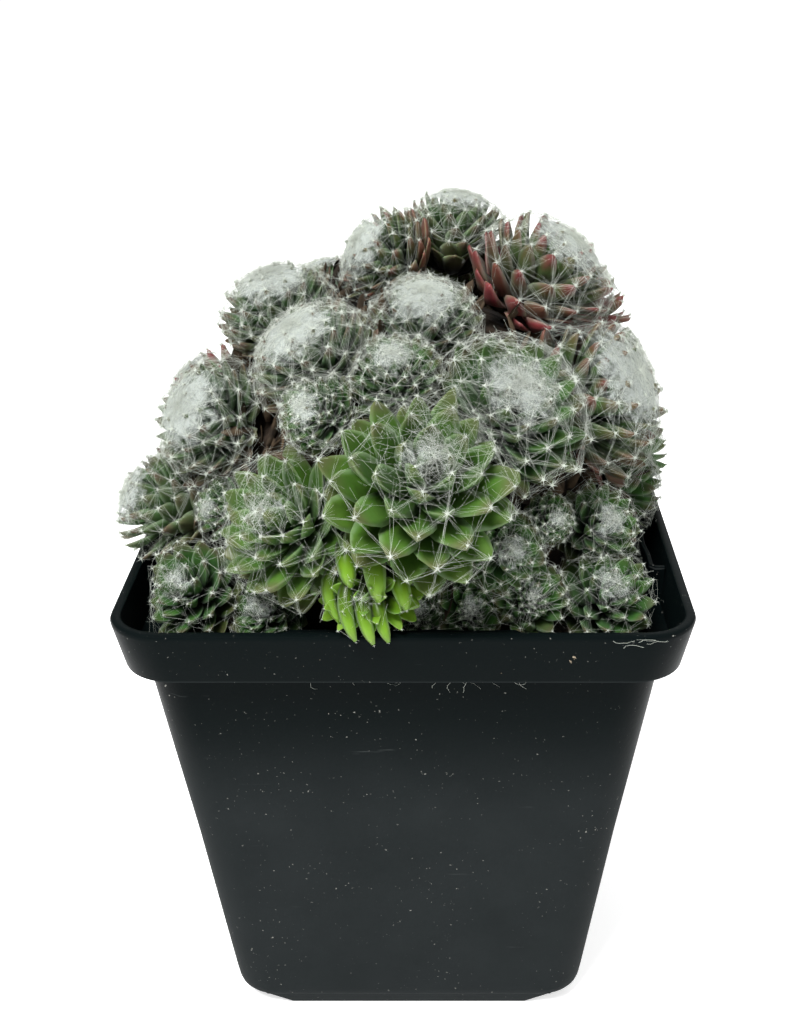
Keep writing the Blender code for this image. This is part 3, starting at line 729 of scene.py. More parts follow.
class Growth:
    """One rosette's place, its own directions, and the room that its neighbours leave it."""

    def __init__(self, number, place, radius, turn, lift, kind):
        self.number = number
        self.node = f"rosette_{number:02d}"
        self.heart = Vector(place)
        self.radius = radius
        self.kind = kind
        a, e = math.radians(turn), math.radians(lift)
        self.face = Vector((math.sin(a) * math.cos(e), -math.cos(a) * math.cos(e), math.sin(e)))
        side = Vector((0, 0, 1)) if lift < 80 else Vector((0, 1, 0))
        self.right = side.cross(self.face).normalized()
        self.up = self.face.cross(self.right)
        self.frame = Matrix((self.right, self.up, self.face)).transposed()
        risen = (self.heart.z - SHADED_UNDER) / SUNNED_AFTER
        self.sun = LEAST_SUN + MORE_SUN * min(max(risen, 0.0), 1.0)
        self.walls = []
        flat = math.hypot(self.heart.x, self.heart.y)
        if flat > ROOTED_BEYOND and self.heart.z < ROOTED_BELOW:
            self.out = Vector((0, 0, 1))
            self.root = Vector((self.heart.x * ROOTED_INWARD, self.heart.y * ROOTED_INWARD, SOIL_TOP))
        else:
            self.out = (self.heart - MAT_CENTRE).normalized()
            self.root = MAT_CENTRE + self.out * MAT_RADIUS
        self.walls.append((self.root + self.out * GAP, -self.out))
        skirt = self.heart.z - SKIRT_SHARE * self.radius
        if skirt < POT_HEIGHT + 1.0 and kind != "lime":
            for sign in (-1, 1):
                self.walls.append((Vector((sign * KEEP_INSIDE, 0, 0)), Vector((sign, 0, 0))))
                self.walls.append((Vector((0, sign * KEEP_INSIDE, 0)), Vector((0, sign, 0))))
            diagonal = Vector((math.copysign(1, self.heart.x), math.copysign(1, self.heart.y), 0))
            diagonal.normalize()
            self.walls.append((diagonal * KEEP_CORNER, diagonal))
        else:
            self.walls.append((Vector((0, 0, KEEP_ABOVE)), Vector((0, 0, -1))))

    def share_room(self, other):
        """A wall half-way to a neighbour that it presses on, nearer the smaller of the two."""
        way = other.heart - self.heart
        apart = way.length
        if apart > PRESS_WITHIN * (self.radius + other.radius):
            return
        share = 0.5 + (self.radius**2 - other.radius**2) / (2 * apart**2)
        share = min(max(share, SIDE_SHARE[0]), SIDE_SHARE[1])
        normal = way.normalized()
        self.walls.append((self.heart + normal * (apart * share + INTERLOCK), normal))

    def crowd(self, points):
        """Rows of points round the heart, each pulled in on its ray where a neighbour presses."""
        heart = np.array(self.heart)
        away = points - heart
        far = np.linalg.norm(away, axis=1)
        ray = away / np.maximum(far, 1e-6)[:, None]
        room = np.full(len(points), self.radius * REACH)
        for point, normal in self.walls:
            towards = ray @ np.array(normal)
            gap = float((point - self.heart).dot(normal))
            met = towards > 1e-4
            room[met] = np.minimum(room[met], gap / towards[met])
        return heart + away * (room / (self.radius * REACH))[:, None]


growths = [Growth(i + 1, *row) for i, row in enumerate(ROSETTES)]
for growth in growths:
    for other in growths:
        if other is not growth:
            growth.share_room(other)

spiral = spiral_tree()
HEART_HEIGHT = 0.74                                 # of the radius
EDGE_POLAR = math.radians(104)                      # how far round from its axis a rosette's leaves reach
OPEN_POLAR = math.radians(116)                      # a fresh rosette hangs its lowest leaves
# kind: (leaves, leaf width as a share of the radius)
LEAFAGE = {"fresh": (70, 0.55), "lime": (40, 0.40), "brown": (80, 0.44), "red": (74, 0.46),
           "green": (84, 0.42), "olive": (86, 0.42), "pale": (90, 0.41)}
CHICKS_BELOW, CHICK_LEAFAGE = 96.0, (50, 0.52)      # the young green ones low in the pot are looser
holder = bpy.data.objects.new("spiral_holder", bpy.data.meshes.new("spiral_holder"))
bpy.context.scene.collection.objects.link(holder)


def modifier_inputs(tree):
    """The identifier of each named input of a maker tree."""
    return {item.name: item.identifier for item in tree.interface.items_tree if item.item_type == "SOCKET"}


def numbers_of(mesh, label):
    """The numbers that a mesh carries under this name, one for each point."""
    values = np.empty(len(mesh.vertices))
    mesh.attributes[label].data.foreach_get("value", values)
    return values


def grow(growth):
    """Runs the leaf spiral for one rosette, then stands it on its heart and crowds it by its neighbours."""
    modifier = holder.modifiers.new("spiral", "NODES")
    modifier.node_group = spiral
    sockets = modifier_inputs(spiral)
    chick = growth.kind == "green" and growth.heart.z < CHICKS_BELOW
    leaves, slender = CHICK_LEAFAGE if chick else LEAFAGE[growth.kind]
    lowest = OPEN_POLAR if growth.kind == "fresh" else EDGE_POLAR
    values = {"Leaves": leaves, "Radius": growth.radius, "Leaf width": slender,
              "Lowest polar angle": lowest, "Heart height": HEART_HEIGHT, "Seed": 900 + growth.number,
              "Skin": SKINS[growth.kind]}
    for label, value in values.items():
        modifier[sockets[label]] = value
    graph = bpy.context.evaluated_depsgraph_get()
    grown = holder.evaluated_get(graph)
    mesh = bpy.data.meshes.new_from_object(grown, preserve_all_data_layers=True, depsgraph=graph)
    holder.modifiers.clear()
    mesh.name = f"leaves_{growth.number:02d}"
    points = np.empty(len(mesh.vertices) * 3)
    mesh.vertices.foreach_get("co", points)
    turned = points.reshape(-1, 3) @ np.array(growth.frame).T + np.array(growth.heart)
    crowded = growth.crowd(turned)
    at_tip = numbers_of(mesh, "leaf_along") > 0.999
    growth.tips = crowded[at_tip]
    growth.tip_ages = numbers_of(mesh, "leaf_age")[at_tip]
    mesh.vertices.foreach_set("co", (crowded * MM).ravel())
    mesh.update()
    obj = bpy.data.objects.new(f"leaves_{growth.number:02d}", mesh)
    bpy.context.scene.collection.objects.link(obj)
    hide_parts(growth.node)
    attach(obj, "root")
    return obj


# The starved offset at the front has a few long, limp leaves that hang over the rim: each is
# (foot, where it bends, point, width).
LIMP_LEAVES = (
    ((-7.1, -39.5, 92.5), (-13.2, -44.2, 91.5), (-9.0, -44.2, 83.4), 2.3),
    ((-6.4, -40.0, 91.0), (-9.8, -46.4, 89.0), (-6.6, -46.9, 81.8), 2.4),
    ((-5.2, -40.0, 90.0), (-6.8, -46.6, 88.0), (-4.0, -47.1, 81.4), 2.5),
    ((-4.0, -40.0, 89.0), (-4.0, -46.2, 87.4), (-1.8, -46.8, 81.6), 2.3),
    ((-7.6, -38.5, 96.0), (-8.8, -43.6, 95.0), (-7.2, -44.6, 89.4), 3.2),
    ((-4.4, -39.5, 94.5), (-4.0, -45.0, 94.0), (-3.2, -45.8, 87.6), 3.4),
    ((-2.2, -39.0, 91.0), (-0.2, -44.4, 91.5), (0.8, -45.4, 86.2), 3.0),
)
LIMP_STATIONS = 13
LIMP_AGE = 0.22


def limp_leaf(bm, layers, number, foot, bend, point, width):
    """One limp leaf along a bent line, fleshy and keeled underneath; its point."""
    foot, bend, point = Vector(foot), Vector(bend), Vector(point)
    rows = []
    for station in range(LIMP_STATIONS):
        t = station / (LIMP_STATIONS - 1) * 0.985
        middle = foot.lerp(bend, t).lerp(bend.lerp(point, t), t)
        run = (bend.lerp(point, t) - foot.lerp(bend, t)).normalized()
        outward = (middle - Vector((middle.x * 0.6 - 2, -30, 86))).normalized()
        side = run.cross(outward).normalized()
        over = side.cross(run).normalized()
        wide = width * (0.66 + 0.34 * math.sin(math.pi * min(1, t * 1.1))) * min(1, (1 - t) * 8) ** 0.5
        row = []
        for y, z in LEAF_SECTION:
            deep = z * wide * 0.26 * (1 if z > 0 else 1.3)
            vert = bm.verts.new(middle + side * (y * wide / 2) - over * deep)
            for layer, value in zip(layers, (t, abs(y), LIMP_AGE, (number * 0.37) % 1, 0.0)):
                vert[layer] = value
            row.append(vert)
        rows.append(row)
    for lower, upper in zip(rows, rows[1:]):
        for i in range(len(row)):
            j = (i + 1) % len(row)
            bm.faces.new((lower[i], lower[j], upper[j], upper[i]))
    bm.faces.new(rows[0])
    bm.faces.new(rows[-1])
    return tuple(point)


def hang_limp_leaves(obj, growth):
    """Adds the limp leaves to the offset's own mesh."""
    bm = bmesh.new()
    bm.from_mesh(obj.data)
    layers = [bm.verts.layers.float[f"leaf_{name}"] for name in ("along", "across", "age", "luck", "turn")]
    bmesh.ops.scale(bm, vec=(1 / MM, 1 / MM, 1 / MM), verts=bm.verts)
    old = set(bm.faces)
    points = [limp_leaf(bm, layers, i, *leaf) for i, leaf in enumerate(LIMP_LEAVES)]
    new = [face for face in bm.faces if face not in old]
    bmesh.ops.recalc_face_normals(bm, faces=new)
    skin = next(iter(old)).material_index
    for face in new:
        face.smooth = True
        face.material_index = skin
    bmesh.ops.scale(bm, vec=(MM, MM, MM), verts=bm.verts)
    bm.to_mesh(obj.data)
    bm.free()
    growth.tips = np.concatenate([growth.tips, np.array(points)])
    growth.tip_ages = np.concatenate([growth.tip_ages, np.full(len(points), LIMP_AGE)])


for growth in growths:
    leaves = grow(growth)
    if growth.kind == "lime":
        hang_limp_leaves(leaves, growth)
bpy.data.objects.remove(holder)
for leaf in LEAF_FORMS:
    bpy.data.objects.remove(leaf)


# The cobweb: each leaf's point carries a tuft of white hairs, and the leaves draw them out into
# threads as they part, from point to point. Over the heart they lie so thick that they felt.
THREAD_THICK = 0.038
WEBBED_FROM = 0.14          # the spent leaves under this age carry no web
SEEN_TO = 14.0              # rosettes behind this are spun with fewer threads
NEIGHBOURS = 7              # how many of the nearest points a point may be joined to
FAN_HAIRS, TANGLE = 9, 420  # hairs at a point, and loose ones over a heart
FULL_AT = 11.0              # the radius from which a rosette has its full share of hairs
# how hairy each kind is
WOOLLINESS = {"pale": 1.15, "brown": 1.05, "fresh": 0.80, "lime": 0.25, "green": 0.95, "olive": 1.0,
              "red": 0.95}
# how often two neighbouring points are joined by drawn threads
DRAWN = {"pale": 0.72, "brown": 0.85, "fresh": 0.45, "lime": 0.3, "green": 0.72, "olive": 0.75,
         "red": 0.80}
# kind: (thickness of the felt over the heart, degrees from the axis that it reaches)
FELTED = {"pale": (1.0, 68), "brown": (0.95, 72), "fresh": (0.45, 42), "lime": (0.0, 30),
          "green": (0.72, 54), "olive": (1.0, 64), "red": (0.90, 68)}
FELT_SINKS = 0.09           # how far the felt's edge lies below the points, as a share of the radius
FELT_DEEP = 0.22


def hair_group():
    """Clean white hair, greyed here and there by grime."""
    group, wiring, come = pattern_group("hair_grime", {"Clean": COLOUR}, {"Colour": COLOUR})
    inputs = {0: come["Clean"], 1: (0.55, 0.55, 0.55)}
    grey = wiring.node("ShaderNodeVectorMath", inputs, operation="MULTIPLY").outputs[0]
    grime = wiring.noise(wiring.place(), 160, 3)
    wiring.node("NodeGroupOutput", {"Colour": wiring.blend(grey, come["Clean"], grime)})
    return group


hair_grime = hair_group()


def wool(name, clean):
    """Matt white hair: the material, its wiring and its shader."""
    made, wiring, shader = new_material(name, {"Roughness": 0.85, "Specular IOR Level": 0.2})
    hair = wiring.node("ShaderNodeGroup", node_tree=hair_grime)
    wiring.put(hair.inputs["Clean"], clean)
    wiring.put(shader.inputs["Base Color"], hair.outputs["Colour"])
    return made, wiring, shader


def felted():
    """The same hair felted: fibres and drifts with fine holes between, thinner towards the pad's edge."""
    made, wiring, shader = wool("web_felt", (0.50, 0.545, 0.51))
    place = wiring.place()
    fibres = wiring.noise(place, 2600, 5, Roughness=0.7, Distortion=1.2)
    drifts = wiring.noise(place, 480, 3, Distortion=0.8)
    cover = wiring.sum("MULTIPLY_ADD", fibres, 0.75, wiring.attribute("felt_thickness"))
    cover = wiring.sum("ADD", cover, drifts)
    wiring.put(shader.inputs["Alpha"], wiring.fade(cover, 1.27, 1.68, 0.0, 0.72, "LINEAR"))
    wiring.relief(shader, fibres, 0.5, 0.3 * MM)
    return made


thread_wool = wool("web_thread", (0.60, 0.64, 0.57))[0]
felt_wool = felted()


def thread_tree():
    """Every edge of a web becomes a thread with three sides, as thick as its points say."""
    tree, wiring, come = maker_tree("web_threads", {"Thickness": NUMBER, "Skin": "NodeSocketMaterial"})
    line = wiring.node("GeometryNodeMeshToCurve", {"Mesh": come["Geometry"]}).outputs[0]
    share = wiring.node("GeometryNodeInputNamedAttribute", {"Name": "thread_share"}, data_type="FLOAT")
    thick = wiring.sum("MULTIPLY", share.outputs[0], come["Thickness"])
    ring = wiring.node("GeometryNodeCurvePrimitiveCircle", {"Resolution": 3, "Radius": 0.5}).outputs[0]
    sized = wiring.node("GeometryNodeSetCurveRadius", {"Curve": line, "Radius": thick}).outputs[0]
    tube = wiring.node("GeometryNodeCurveToMesh", {
        "Curve": sized, "Profile Curve": ring, "Scale": thick, "Fill Caps": False}).outputs[0]
    end_tree(wiring, tube, come["Skin"])
    return tree


def dome_point(growth, polar, turn, reach=1.0):
    """A point on the dome that the leaves' points make, at this angle from the rosette's axis."""
    out = 1 - (1 - HEART_HEIGHT) * max(0.0, math.cos(polar)) ** DOME_POWER
    ray = growth.right * (math.sin(polar) * math.cos(turn)) + growth.up * (math.sin(polar) * math.sin(turn))
    return np.array(growth.heart + (ray + growth.face * math.cos(polar)) * growth.radius * out * reach)


class Web:
    """The threads of a group of rosettes: points, the runs between them and each run's thickness."""

    def __init__(self):
        self.points, self.runs, self.shares = [], [], []

    def thread(self, points, share):
        """Adds one thread along these points."""
        first = len(self.points)
        self.points.extend(points)
        self.shares.extend([share] * len(points))
        self.runs.extend((first + i, first + i + 1) for i in range(len(points) - 1))


THREAD_STRAYS, THREAD_WAVERS = 0.34, 0.13       # at its ends, and on its way


def stray(shake, most):
    """A small random step."""
    return np.array([shake.gauss(0, most) for _ in range(3)])


def spun(growth, a, b, steps, lift, shake):
    """A thread between two points, drawn over the dome between them but dipping by its lift."""
    heart = np.array(growth.heart)
    da = a - heart + stray(shake, THREAD_STRAYS)
    db = b - heart + stray(shake, THREAD_STRAYS)
    ra, rb = np.linalg.norm(da), np.linalg.norm(db)
    line = []
    for i in range(steps + 1):
        t = i / steps
        p = da * (1 - t) + db * t
        r = np.linalg.norm(p)
        wanted = (ra * (1 - t) + rb * t) * (1 - (1 - lift) * 4 * t * (1 - t))
        if 0 < i < steps:
            p = p / max(r, 1e-6) * max(r, wanted)
            p = p + stray(shake, THREAD_WAVERS)
        line.append(tuple(heart + p))
    return line


def web_of(growth, web):
    """Threads between neighbouring points, hairs fanned from each point, and a tangle over the heart."""
    shake = random.Random(7000 + growth.number)
    tips, ages = growth.tips, growth.tip_ages
    dense = WOOLLINESS[growth.kind] * growth.sun * (1.0 if growth.heart.y < SEEN_TO else 0.55)
    room = min(1.1, (growth.radius / FULL_AT) ** 1.3)
    apart = np.linalg.norm(tips[:, None] - tips[None, :], axis=2)
    order = np.argsort(apart, axis=1)
    joined = set()
    alive = [i for i in range(len(tips)) if ages[i] > WEBBED_FROM]
    for i in alive:
        for j in order[i][1:NEIGHBOURS + 1]:
            pair = (min(i, j), max(i, j))
            if pair in joined or ages[j] <= WEBBED_FROM or shake.random() > DRAWN[growth.kind] * dense:
                continue
            joined.add(pair)
            for _ in range(shake.choice((2, 3, 3, 4) if growth.radius > 9 else (1, 2, 2))):
                line = spun(growth, tips[i], tips[j], 2, shake.uniform(0.78, 0.95), shake)
                web.thread(line, shake.uniform(0.35, 0.95))
    for i in alive:
        fan_of(growth, tips[i], int(FAN_HAIRS * dense * room + 0.5), web, shake)
    tangle_of(growth, int(TANGLE * dense * room), web, shake)


def fan_of(growth, tip, hairs, web, shake):
    """Short hairs from a leaf's point, most of them towards the heart."""
    heart = np.array(growth.heart)
    inward = heart + np.array(growth.face) * growth.radius * HEART_HEIGHT - tip
    for _ in range(hairs):
        way = inward / max(np.linalg.norm(inward), 1e-6) * 0.8 + stray(shake, 0.7)
        end = tip + way / np.linalg.norm(way) * growth.radius * shake.uniform(0.12, 0.34)
        away = end - heart
        length = np.linalg.norm(tip - heart) * shake.uniform(0.93, 1.01)
        end = heart + away / np.linalg.norm(away) * length
        web.thread([tuple(tip), tuple(end)], shake.uniform(0.3, 0.65))


def tangle_of(growth, hairs, web, shake):
    """Loose hairs that lie every way over the heart."""
    radius, face = growth.radius, np.array(growth.face)
    tangle = []
    for _ in range(hairs):
        polar, turn = abs(shake.gauss(0, 0.50)), shake.uniform(0, math.tau)
        middle = dome_point(growth, polar, turn, shake.uniform(0.97, 1.06))
        way = stray(shake, 1)
        way -= face * way.dot(face) * 0.8
        way *= radius * shake.uniform(0.08, 0.22) / np.linalg.norm(way)
        bow = stray(shake, 0.02 * radius)
        tangle.extend((middle - way, middle + bow, middle + way))
    if tangle:
        tangle = growth.crowd(np.array(tangle))
    for first in range(0, len(tangle), 3):
        web.thread([tuple(point) for point in tangle[first:first + 3]], shake.uniform(0.3, 0.8))


TOUCH_WITHIN, LONGEST_BRIDGE = 2.0, 3.4


def across_gaps(growth, web):
    """Threads to the points of the next rosettes, where they touch."""
    shake = random.Random(8100 + growth.number)
    for other in growths[growth.number:]:
        if (other.heart - growth.heart).length > growth.radius + other.radius + TOUCH_WITHIN:
            continue
        apart = np.linalg.norm(growth.tips[:, None] - other.tips[None, :], axis=2)
        for i, j in zip(*np.nonzero(apart < LONGEST_BRIDGE)):
            old = min(growth.tip_ages[i], other.tip_ages[j])
            if old > 0.08 and shake.random() < 0.30:
                web.thread([tuple(growth.tips[i]), tuple(other.tips[j])], shake.uniform(0.4, 1.0))


def felt_on(growth, bm, layer):
    """A thin pad of felted hair over the heart, following the leaves' points."""
    rings, spokes = 7, 16
    weight, widest = FELTED[growth.kind]
    weight *= min(1.0, 0.45 + 0.6 * growth.sun)
    widest = math.radians(widest)
    local = [(0.0, 0.0)]
    for ring in range(1, rings + 1):
        local.extend((widest * ring / rings, 2 * math.pi * spoke / spokes) for spoke in range(spokes))
    for lid in (0.0, -FELT_DEEP):
        points = []
        for polar, turn in local:
            thin = lid * (1 - polar / widest)
            sunk = FELT_SINKS * (polar / widest) ** 2
            points.append(dome_point(growth, polar, turn, 1.0 - sunk + thin / growth.radius))
        crowded = growth.crowd(np.array(points))
        verts = []
        for (polar, turn), point in zip(local, crowded):
            vert = bm.verts.new(point)
            vert[layer] = weight * (1 - (polar / widest) ** 1.5)
            verts.append(vert)
        if lid == 0.0:
            top = verts
    below = verts
    for side, up in ((top, True), (below, False)):
        for spoke in range(spokes):
            nxt = (spoke + 1) % spokes
            fan = (side[0], side[1 + spoke], side[1 + nxt])
            bm.faces.new(fan if up else fan[::-1])
            for ring in range(rings - 1):
                a = 1 + ring * spokes
                quad = (side[a + spoke], side[a + spokes + spoke], side[a + spokes + nxt], side[a + nxt])
                bm.faces.new(quad if up else quad[::-1])
    last = 1 + (rings - 1) * spokes
    for spoke in range(spokes):
        nxt = (spoke + 1) % spokes
        bm.faces.new((top[last + spoke], below[last + spoke], below[last + nxt], top[last + nxt]))


TUFT_HAIRS = 9


def tuft_shape():
    """The tuft on a leaf's point: a knot of wool with short hairs standing out of it."""
    bm = bmesh.new()
    bmesh.ops.create_uvsphere(bm, u_segments=4, v_segments=2, radius=0.19 * MM)
    shake = random.Random(77)
    for i in range(TUFT_HAIRS):
        height = 1 - 2 * (i + 0.5) / TUFT_HAIRS
        turn = i * GOLDEN_ANGLE
        flat = math.sqrt(1 - height * height)
        way = Vector((flat * math.cos(turn), flat * math.sin(turn), height))
        side = way.orthogonal().normalized() * 0.045 * MM
        foot = way * 0.12 * MM
        thirds = [Matrix.Rotation(math.radians(120 * k), 3, way) for k in range(3)]
        ring = [bm.verts.new(foot + third @ side) for third in thirds]
        end = bm.verts.new(way * shake.uniform(0.45, 0.85) * MM)
        for k in range(3):
            bm.faces.new((ring[k], ring[(k + 1) % 3], end))
    mesh = bpy.data.meshes.new("tuft")
    bm.to_mesh(mesh)
    bm.free()
    return bpy.data.objects.new("tuft", mesh)


def scatter_tree(name, thing):
    """One thing on each point, turned and sized at random."""
    tree, wiring, come = maker_tree(name, {"Least size": NUMBER, "Greatest size": NUMBER,
                                           "Skin": "NodeSocketMaterial"})
    shape = wiring.node("GeometryNodeObjectInfo", {"Object": thing}).outputs["Geometry"]
    turns = {1: (math.tau, math.tau, math.tau), "Seed": 5}
    turned = wiring.node("FunctionNodeRandomValue", turns, data_type="FLOAT_VECTOR").outputs[0]
    sizes = {2: come["Least size"], 3: come["Greatest size"], "Seed": 6}
    size = wiring.node("FunctionNodeRandomValue", sizes, data_type="FLOAT").outputs[1]
    share = wiring.node("GeometryNodeInputNamedAttribute", {"Name": "size_share"}, data_type="FLOAT")
    spread = wiring.node("GeometryNodeInstanceOnPoints", {
        "Points": wiring.node("GeometryNodeMeshToPoints", {"Mesh": come["Geometry"]}).outputs[0],
        "Instance": shape,
        "Rotation": wiring.node("FunctionNodeEulerToRotation", {0: turned}).outputs[0],
        "Scale": wiring.sum("MULTIPLY", size, share.outputs[0])})
    end_tree(wiring, spread.outputs[0], come["Skin"])
    return tree


def drawn_by(name, points, edges, attribute, values, tree, settings):
    """A piece of its own: the plain mesh that a tree makes of these points and edges."""
    mesh = bpy.data.meshes.new(name)
    mesh.from_pydata([tuple(MM * c for c in point) for point in points], edges, [])
    mesh.attributes.new(attribute, "FLOAT", "POINT").data.foreach_set("value", values)
    obj = bpy.data.objects.new(name, mesh)
    bpy.context.scene.collection.objects.link(obj)
    modifier = obj.modifiers.new("made", "NODES")
    modifier.node_group = tree
    sockets = modifier_inputs(tree)
    for label, value in settings.items():
        modifier[sockets[label]] = value
    graph = bpy.context.evaluated_depsgraph_get()
    drawn = bpy.data.meshes.new_from_object(obj.evaluated_get(graph), depsgraph=graph)
    obj.modifiers.clear()
    obj.data = drawn
    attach(obj, "root")
    return obj


threads = thread_tree()
tuft = tuft_shape()
tufts = scatter_tree("tip_tufts", tuft)
QUARTERS = (("front", -45, 45), ("right", 45, 135), ("back", 135, 225), ("left", 225, 315))
for label, low, high in QUARTERS:
    web = Web()
    felt = bmesh.new()
    layer = felt.verts.layers.float.new("felt_thickness")
    knots, knot_sizes = [], []
    for growth in growths:
        round_from_front = math.degrees(math.atan2(growth.heart.x, -growth.heart.y)) % 360
        if not (low <= round_from_front < high or low <= round_from_front - 360 < high):
            continue
        web_of(growth, web)
        felt_on(growth, felt, layer)
        webbed = [tuple(tip) for tip, age in zip(growth.tips, growth.tip_ages) if age > WEBBED_FROM]
        knots.extend(webbed)
        knot_size = WOOLLINESS[growth.kind] ** 0.5 * (0.45 + 0.062 * growth.radius)
        knot_sizes.extend([knot_size] * len(webbed))
        across_gaps(growth, web)
    drawn_by(f"web_{label}", web.points, web.runs, "thread_share", web.shares, threads,
             {"Thickness": THREAD_THICK * MM, "Skin": thread_wool})
    drawn_by(f"tufts_{label}", knots, [], "size_share", knot_sizes, tufts,
             {"Least size": 0.7, "Greatest size": 1.35, "Skin": thread_wool})
    bmesh.ops.recalc_face_normals(felt, faces=felt.faces)
    pad = piece_from(felt, f"felt_{label}", felt_wool)
    pad.data.shade_smooth()
    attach(pad, "root")
bpy.data.objects.remove(tuft)


# What has dropped: withered leaves on the old growth between the rosettes, crumbs and grit on the
# soil, a few crumbs stuck on the band, and shed hairs caught under it and on its edge.
withered = leaf_shape("withered_leaf", 0.7, 0.07, 0.1)
withered.data.transform(Matrix.Diagonal((5.5 * MM, 2.0 * MM, 2.0 * MM, 1)))
crumb_mesh = bmesh.new()
bmesh.ops.create_icosphere(crumb_mesh, subdivisions=1, radius=0.5 * MM)
shake = random.Random(31)
for vert in crumb_mesh.verts:
    vert.co *= shake.uniform(0.6, 1.15)
crumb_data = bpy.data.meshes.new("crumb")
crumb_mesh.to_mesh(crumb_data)
crumb_mesh.free()
crumb = bpy.data.objects.new("crumb", crumb_data)

WITHERED_LEAVES = 620
# a gap shows where, this far over the old growth, every heart is farther than this share of its radius
GAP_OVER, GAP_CLEAR = 7.0, 0.82
places = []
while len(places) < WITHERED_LEAVES:
    way = Vector((shake.gauss(0, 1), shake.gauss(0, 1), shake.gauss(0, 1))).normalized()
    place = MAT_CENTRE + way * (MAT_RADIUS + shake.uniform(-0.3, 2.6))
    over = place + way * GAP_OVER
    shows = all((over - growth.heart).length > GAP_CLEAR * growth.radius for growth in growths)
    if shows and place.z > POT_HEIGHT - 1:
        places.append(tuple(place))
parched = earth("withered", (0.016, 0.011, 0.007), (0.090, 0.062, 0.036), 260)
drawn_by("withered_leaves", places, [], "size_share", [1.0] * len(places),
         scatter_tree("litter_scatter", withered),
         {"Least size": 0.6, "Greatest size": 1.3, "Skin": parched})

# grit lies round the heap, where the soil shows
GRIT, GRIT_HALF, GRIT_FROM = 520, 37.0, 30.0
places = []
while len(places) < GRIT:
    x, y = shake.uniform(-GRIT_HALF, GRIT_HALF), shake.uniform(-GRIT_HALF, GRIT_HALF)
    if math.hypot(x, y) > GRIT_FROM:
        places.append((x, y, SOIL_TOP + shake.uniform(-0.1, 0.3)))
grit = earth("soil_grit", (0.012, 0.009, 0.006), (0.200, 0.170, 0.130), 240)
grit_scatter = scatter_tree("grit_scatter", crumb)
drawn_by("grit_on_soil", places, [], "size_share", [1.0] * len(places), grit_scatter,
         {"Least size": 0.5, "Greatest size": 2.4, "Skin": grit})

# a smear of crumbs that runs down the band, and single ones all over the front
STUCK_AT = Vector((25.7, -43.75, 77.9))
SMEARED, SINGLE = 34, 70
places, sizes = [], []
for step in range(SMEARED):
    down = (step / SMEARED) ** 1.6
    off = Vector((-3.4 * down, 0.62 * down, -3.6 * down))
    off += Vector((shake.gauss(0, 0.35), shake.uniform(-0.02, 0.1), shake.gauss(0, 0.35)))
    places.append(tuple(STUCK_AT + off))
    sizes.append(shake.uniform(0.25, 1.0) * (1 - 0.6 * down))
for _ in range(SINGLE):
    z = shake.uniform(20, 80)
    band_half = RIM_HALF - BAND_FLARE * (POT_HEIGHT - z) / RIM_BAND
    wall = band_half if z > band_foot else body_half(z)
    places.append((shake.uniform(-0.9, 0.9) * (wall - RIM_CORNER), -wall, z))
    sizes.append(shake.uniform(0.06, 0.22))
tan = earth("stuck_soil", (0.050, 0.042, 0.032), (0.330, 0.270, 0.190), 700)
drawn_by("stuck_crumbs", places, [], "size_share", sizes, grit_scatter,
         {"Least size": 0.7, "Greatest size": 1.3, "Skin": tan})

# where hairs have caught: (middle, out from the pot's axis, spread, strands)
CAUGHT = ((-8.5, SHOULDER_HALF + 0.2, 3.2, 9), (7.9, SHOULDER_HALF + 0.2, 2.6, 7),
          (18.5, SHOULDER_HALF + 0.2, 1.2, 3), (37.0, RIM_HALF + 0.05, 1.6, 5))
lint = Web()
for middle, out, wide, strands in CAUGHT:
    top = POT_HEIGHT - 0.4 if out > RIM_HALF else band_foot - 0.6
    for _ in range(strands):
        x, z = middle + shake.gauss(0, wide), top - abs(shake.gauss(0, 0.5))
        heading = shake.uniform(-0.5, 0.5) + (math.pi if shake.random() < 0.5 else 0.0)
        line = []
        for _ in range(7):
            line.append((x, -out - shake.uniform(0.0, 0.15), z))
            heading += shake.gauss(0, 0.5)
            x += 0.55 * math.cos(heading)
            z = min(top, z + 0.45 * math.sin(heading))
        lint.thread(line, shake.uniform(0.6, 1.3))
drawn_by("caught_hairs", lint.points, lint.runs, "thread_share", lint.shares, threads,
         {"Thickness": THREAD_THICK * MM, "Skin": thread_wool})
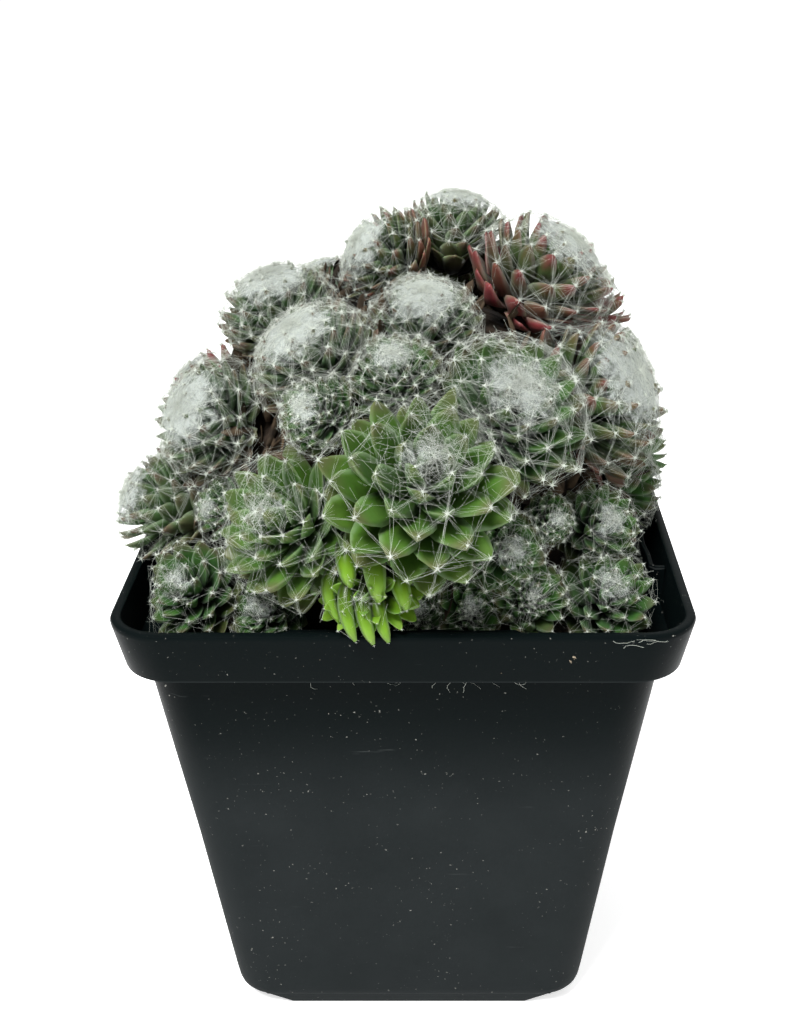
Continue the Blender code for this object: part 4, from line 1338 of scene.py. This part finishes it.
for thing in (withered, crumb):
    bpy.data.objects.remove(thing)


# The studio: a pale floor, one broad soft light above in front and fill from the sides, and the
# camera a little above the rim, looking down on the heap.
FLOOR_HALF, FLOOR_UNDER = 3.0, 0.0002
corners = [(x * FLOOR_HALF, y * FLOOR_HALF, -FLOOR_UNDER) for x, y in ((-1, -1), (1, -1), (1, 1), (-1, 1))]
floor_mesh = bpy.data.meshes.new("floor")
floor_mesh.from_pydata(corners, [], [(0, 1, 2, 3)])
floor = bpy.data.objects.new("floor", floor_mesh)
bpy.context.scene.collection.objects.link(floor)
floor_mesh.materials.append(new_material("pale_floor", {
    "Base Color": (0.86, 0.86, 0.86, 1), "Roughness": 0.9, "Emission Color": (1, 1, 1, 1),
    "Emission Strength": 0.64})[0])

world = bpy.data.worlds.new("studio")
world.use_nodes = True
world.node_tree.nodes["Background"].inputs["Color"].default_value = (1, 1, 1, 1)
world.node_tree.nodes["Background"].inputs["Strength"].default_value = 0.42
bpy.context.scene.world = world


def soft_light(name, place, target, size, power):
    """A square soft box at a place, turned to its target; metres and watts."""
    light = bpy.data.lights.new(name, "AREA")
    light.size = size
    light.energy = power
    obj = bpy.data.objects.new(name, light)
    obj.location = place
    obj.rotation_euler = (Vector(target) - Vector(place)).to_track_quat("-Z", "Y").to_euler()
    bpy.context.scene.collection.objects.link(obj)


soft_light("key", (-0.22, -0.42, 0.80), (0, 0, 0.09), 0.34, 14.6)
soft_light("fill", (0.6, -0.35, 0.4), (0, 0, 0.09), 0.7, 1.0)
soft_light("back", (0.1, 0.7, 0.6), (0, 0, 0.1), 0.8, 2.2)

camera = bpy.data.cameras.new("camera")
camera.sensor_width = 36
camera.lens = 52.73
camera.clip_start = 0.01
camera.shift_x = -0.0422
view = bpy.data.objects.new("camera", camera)
view.location = (0.0061, -0.2403, 0.1854)
view.rotation_euler = (math.radians(90 - 23.2), 0, 0)
bpy.context.scene.collection.objects.link(view)
bpy.context.scene.camera = view
bpy.context.scene.view_settings.view_transform = "Standard"
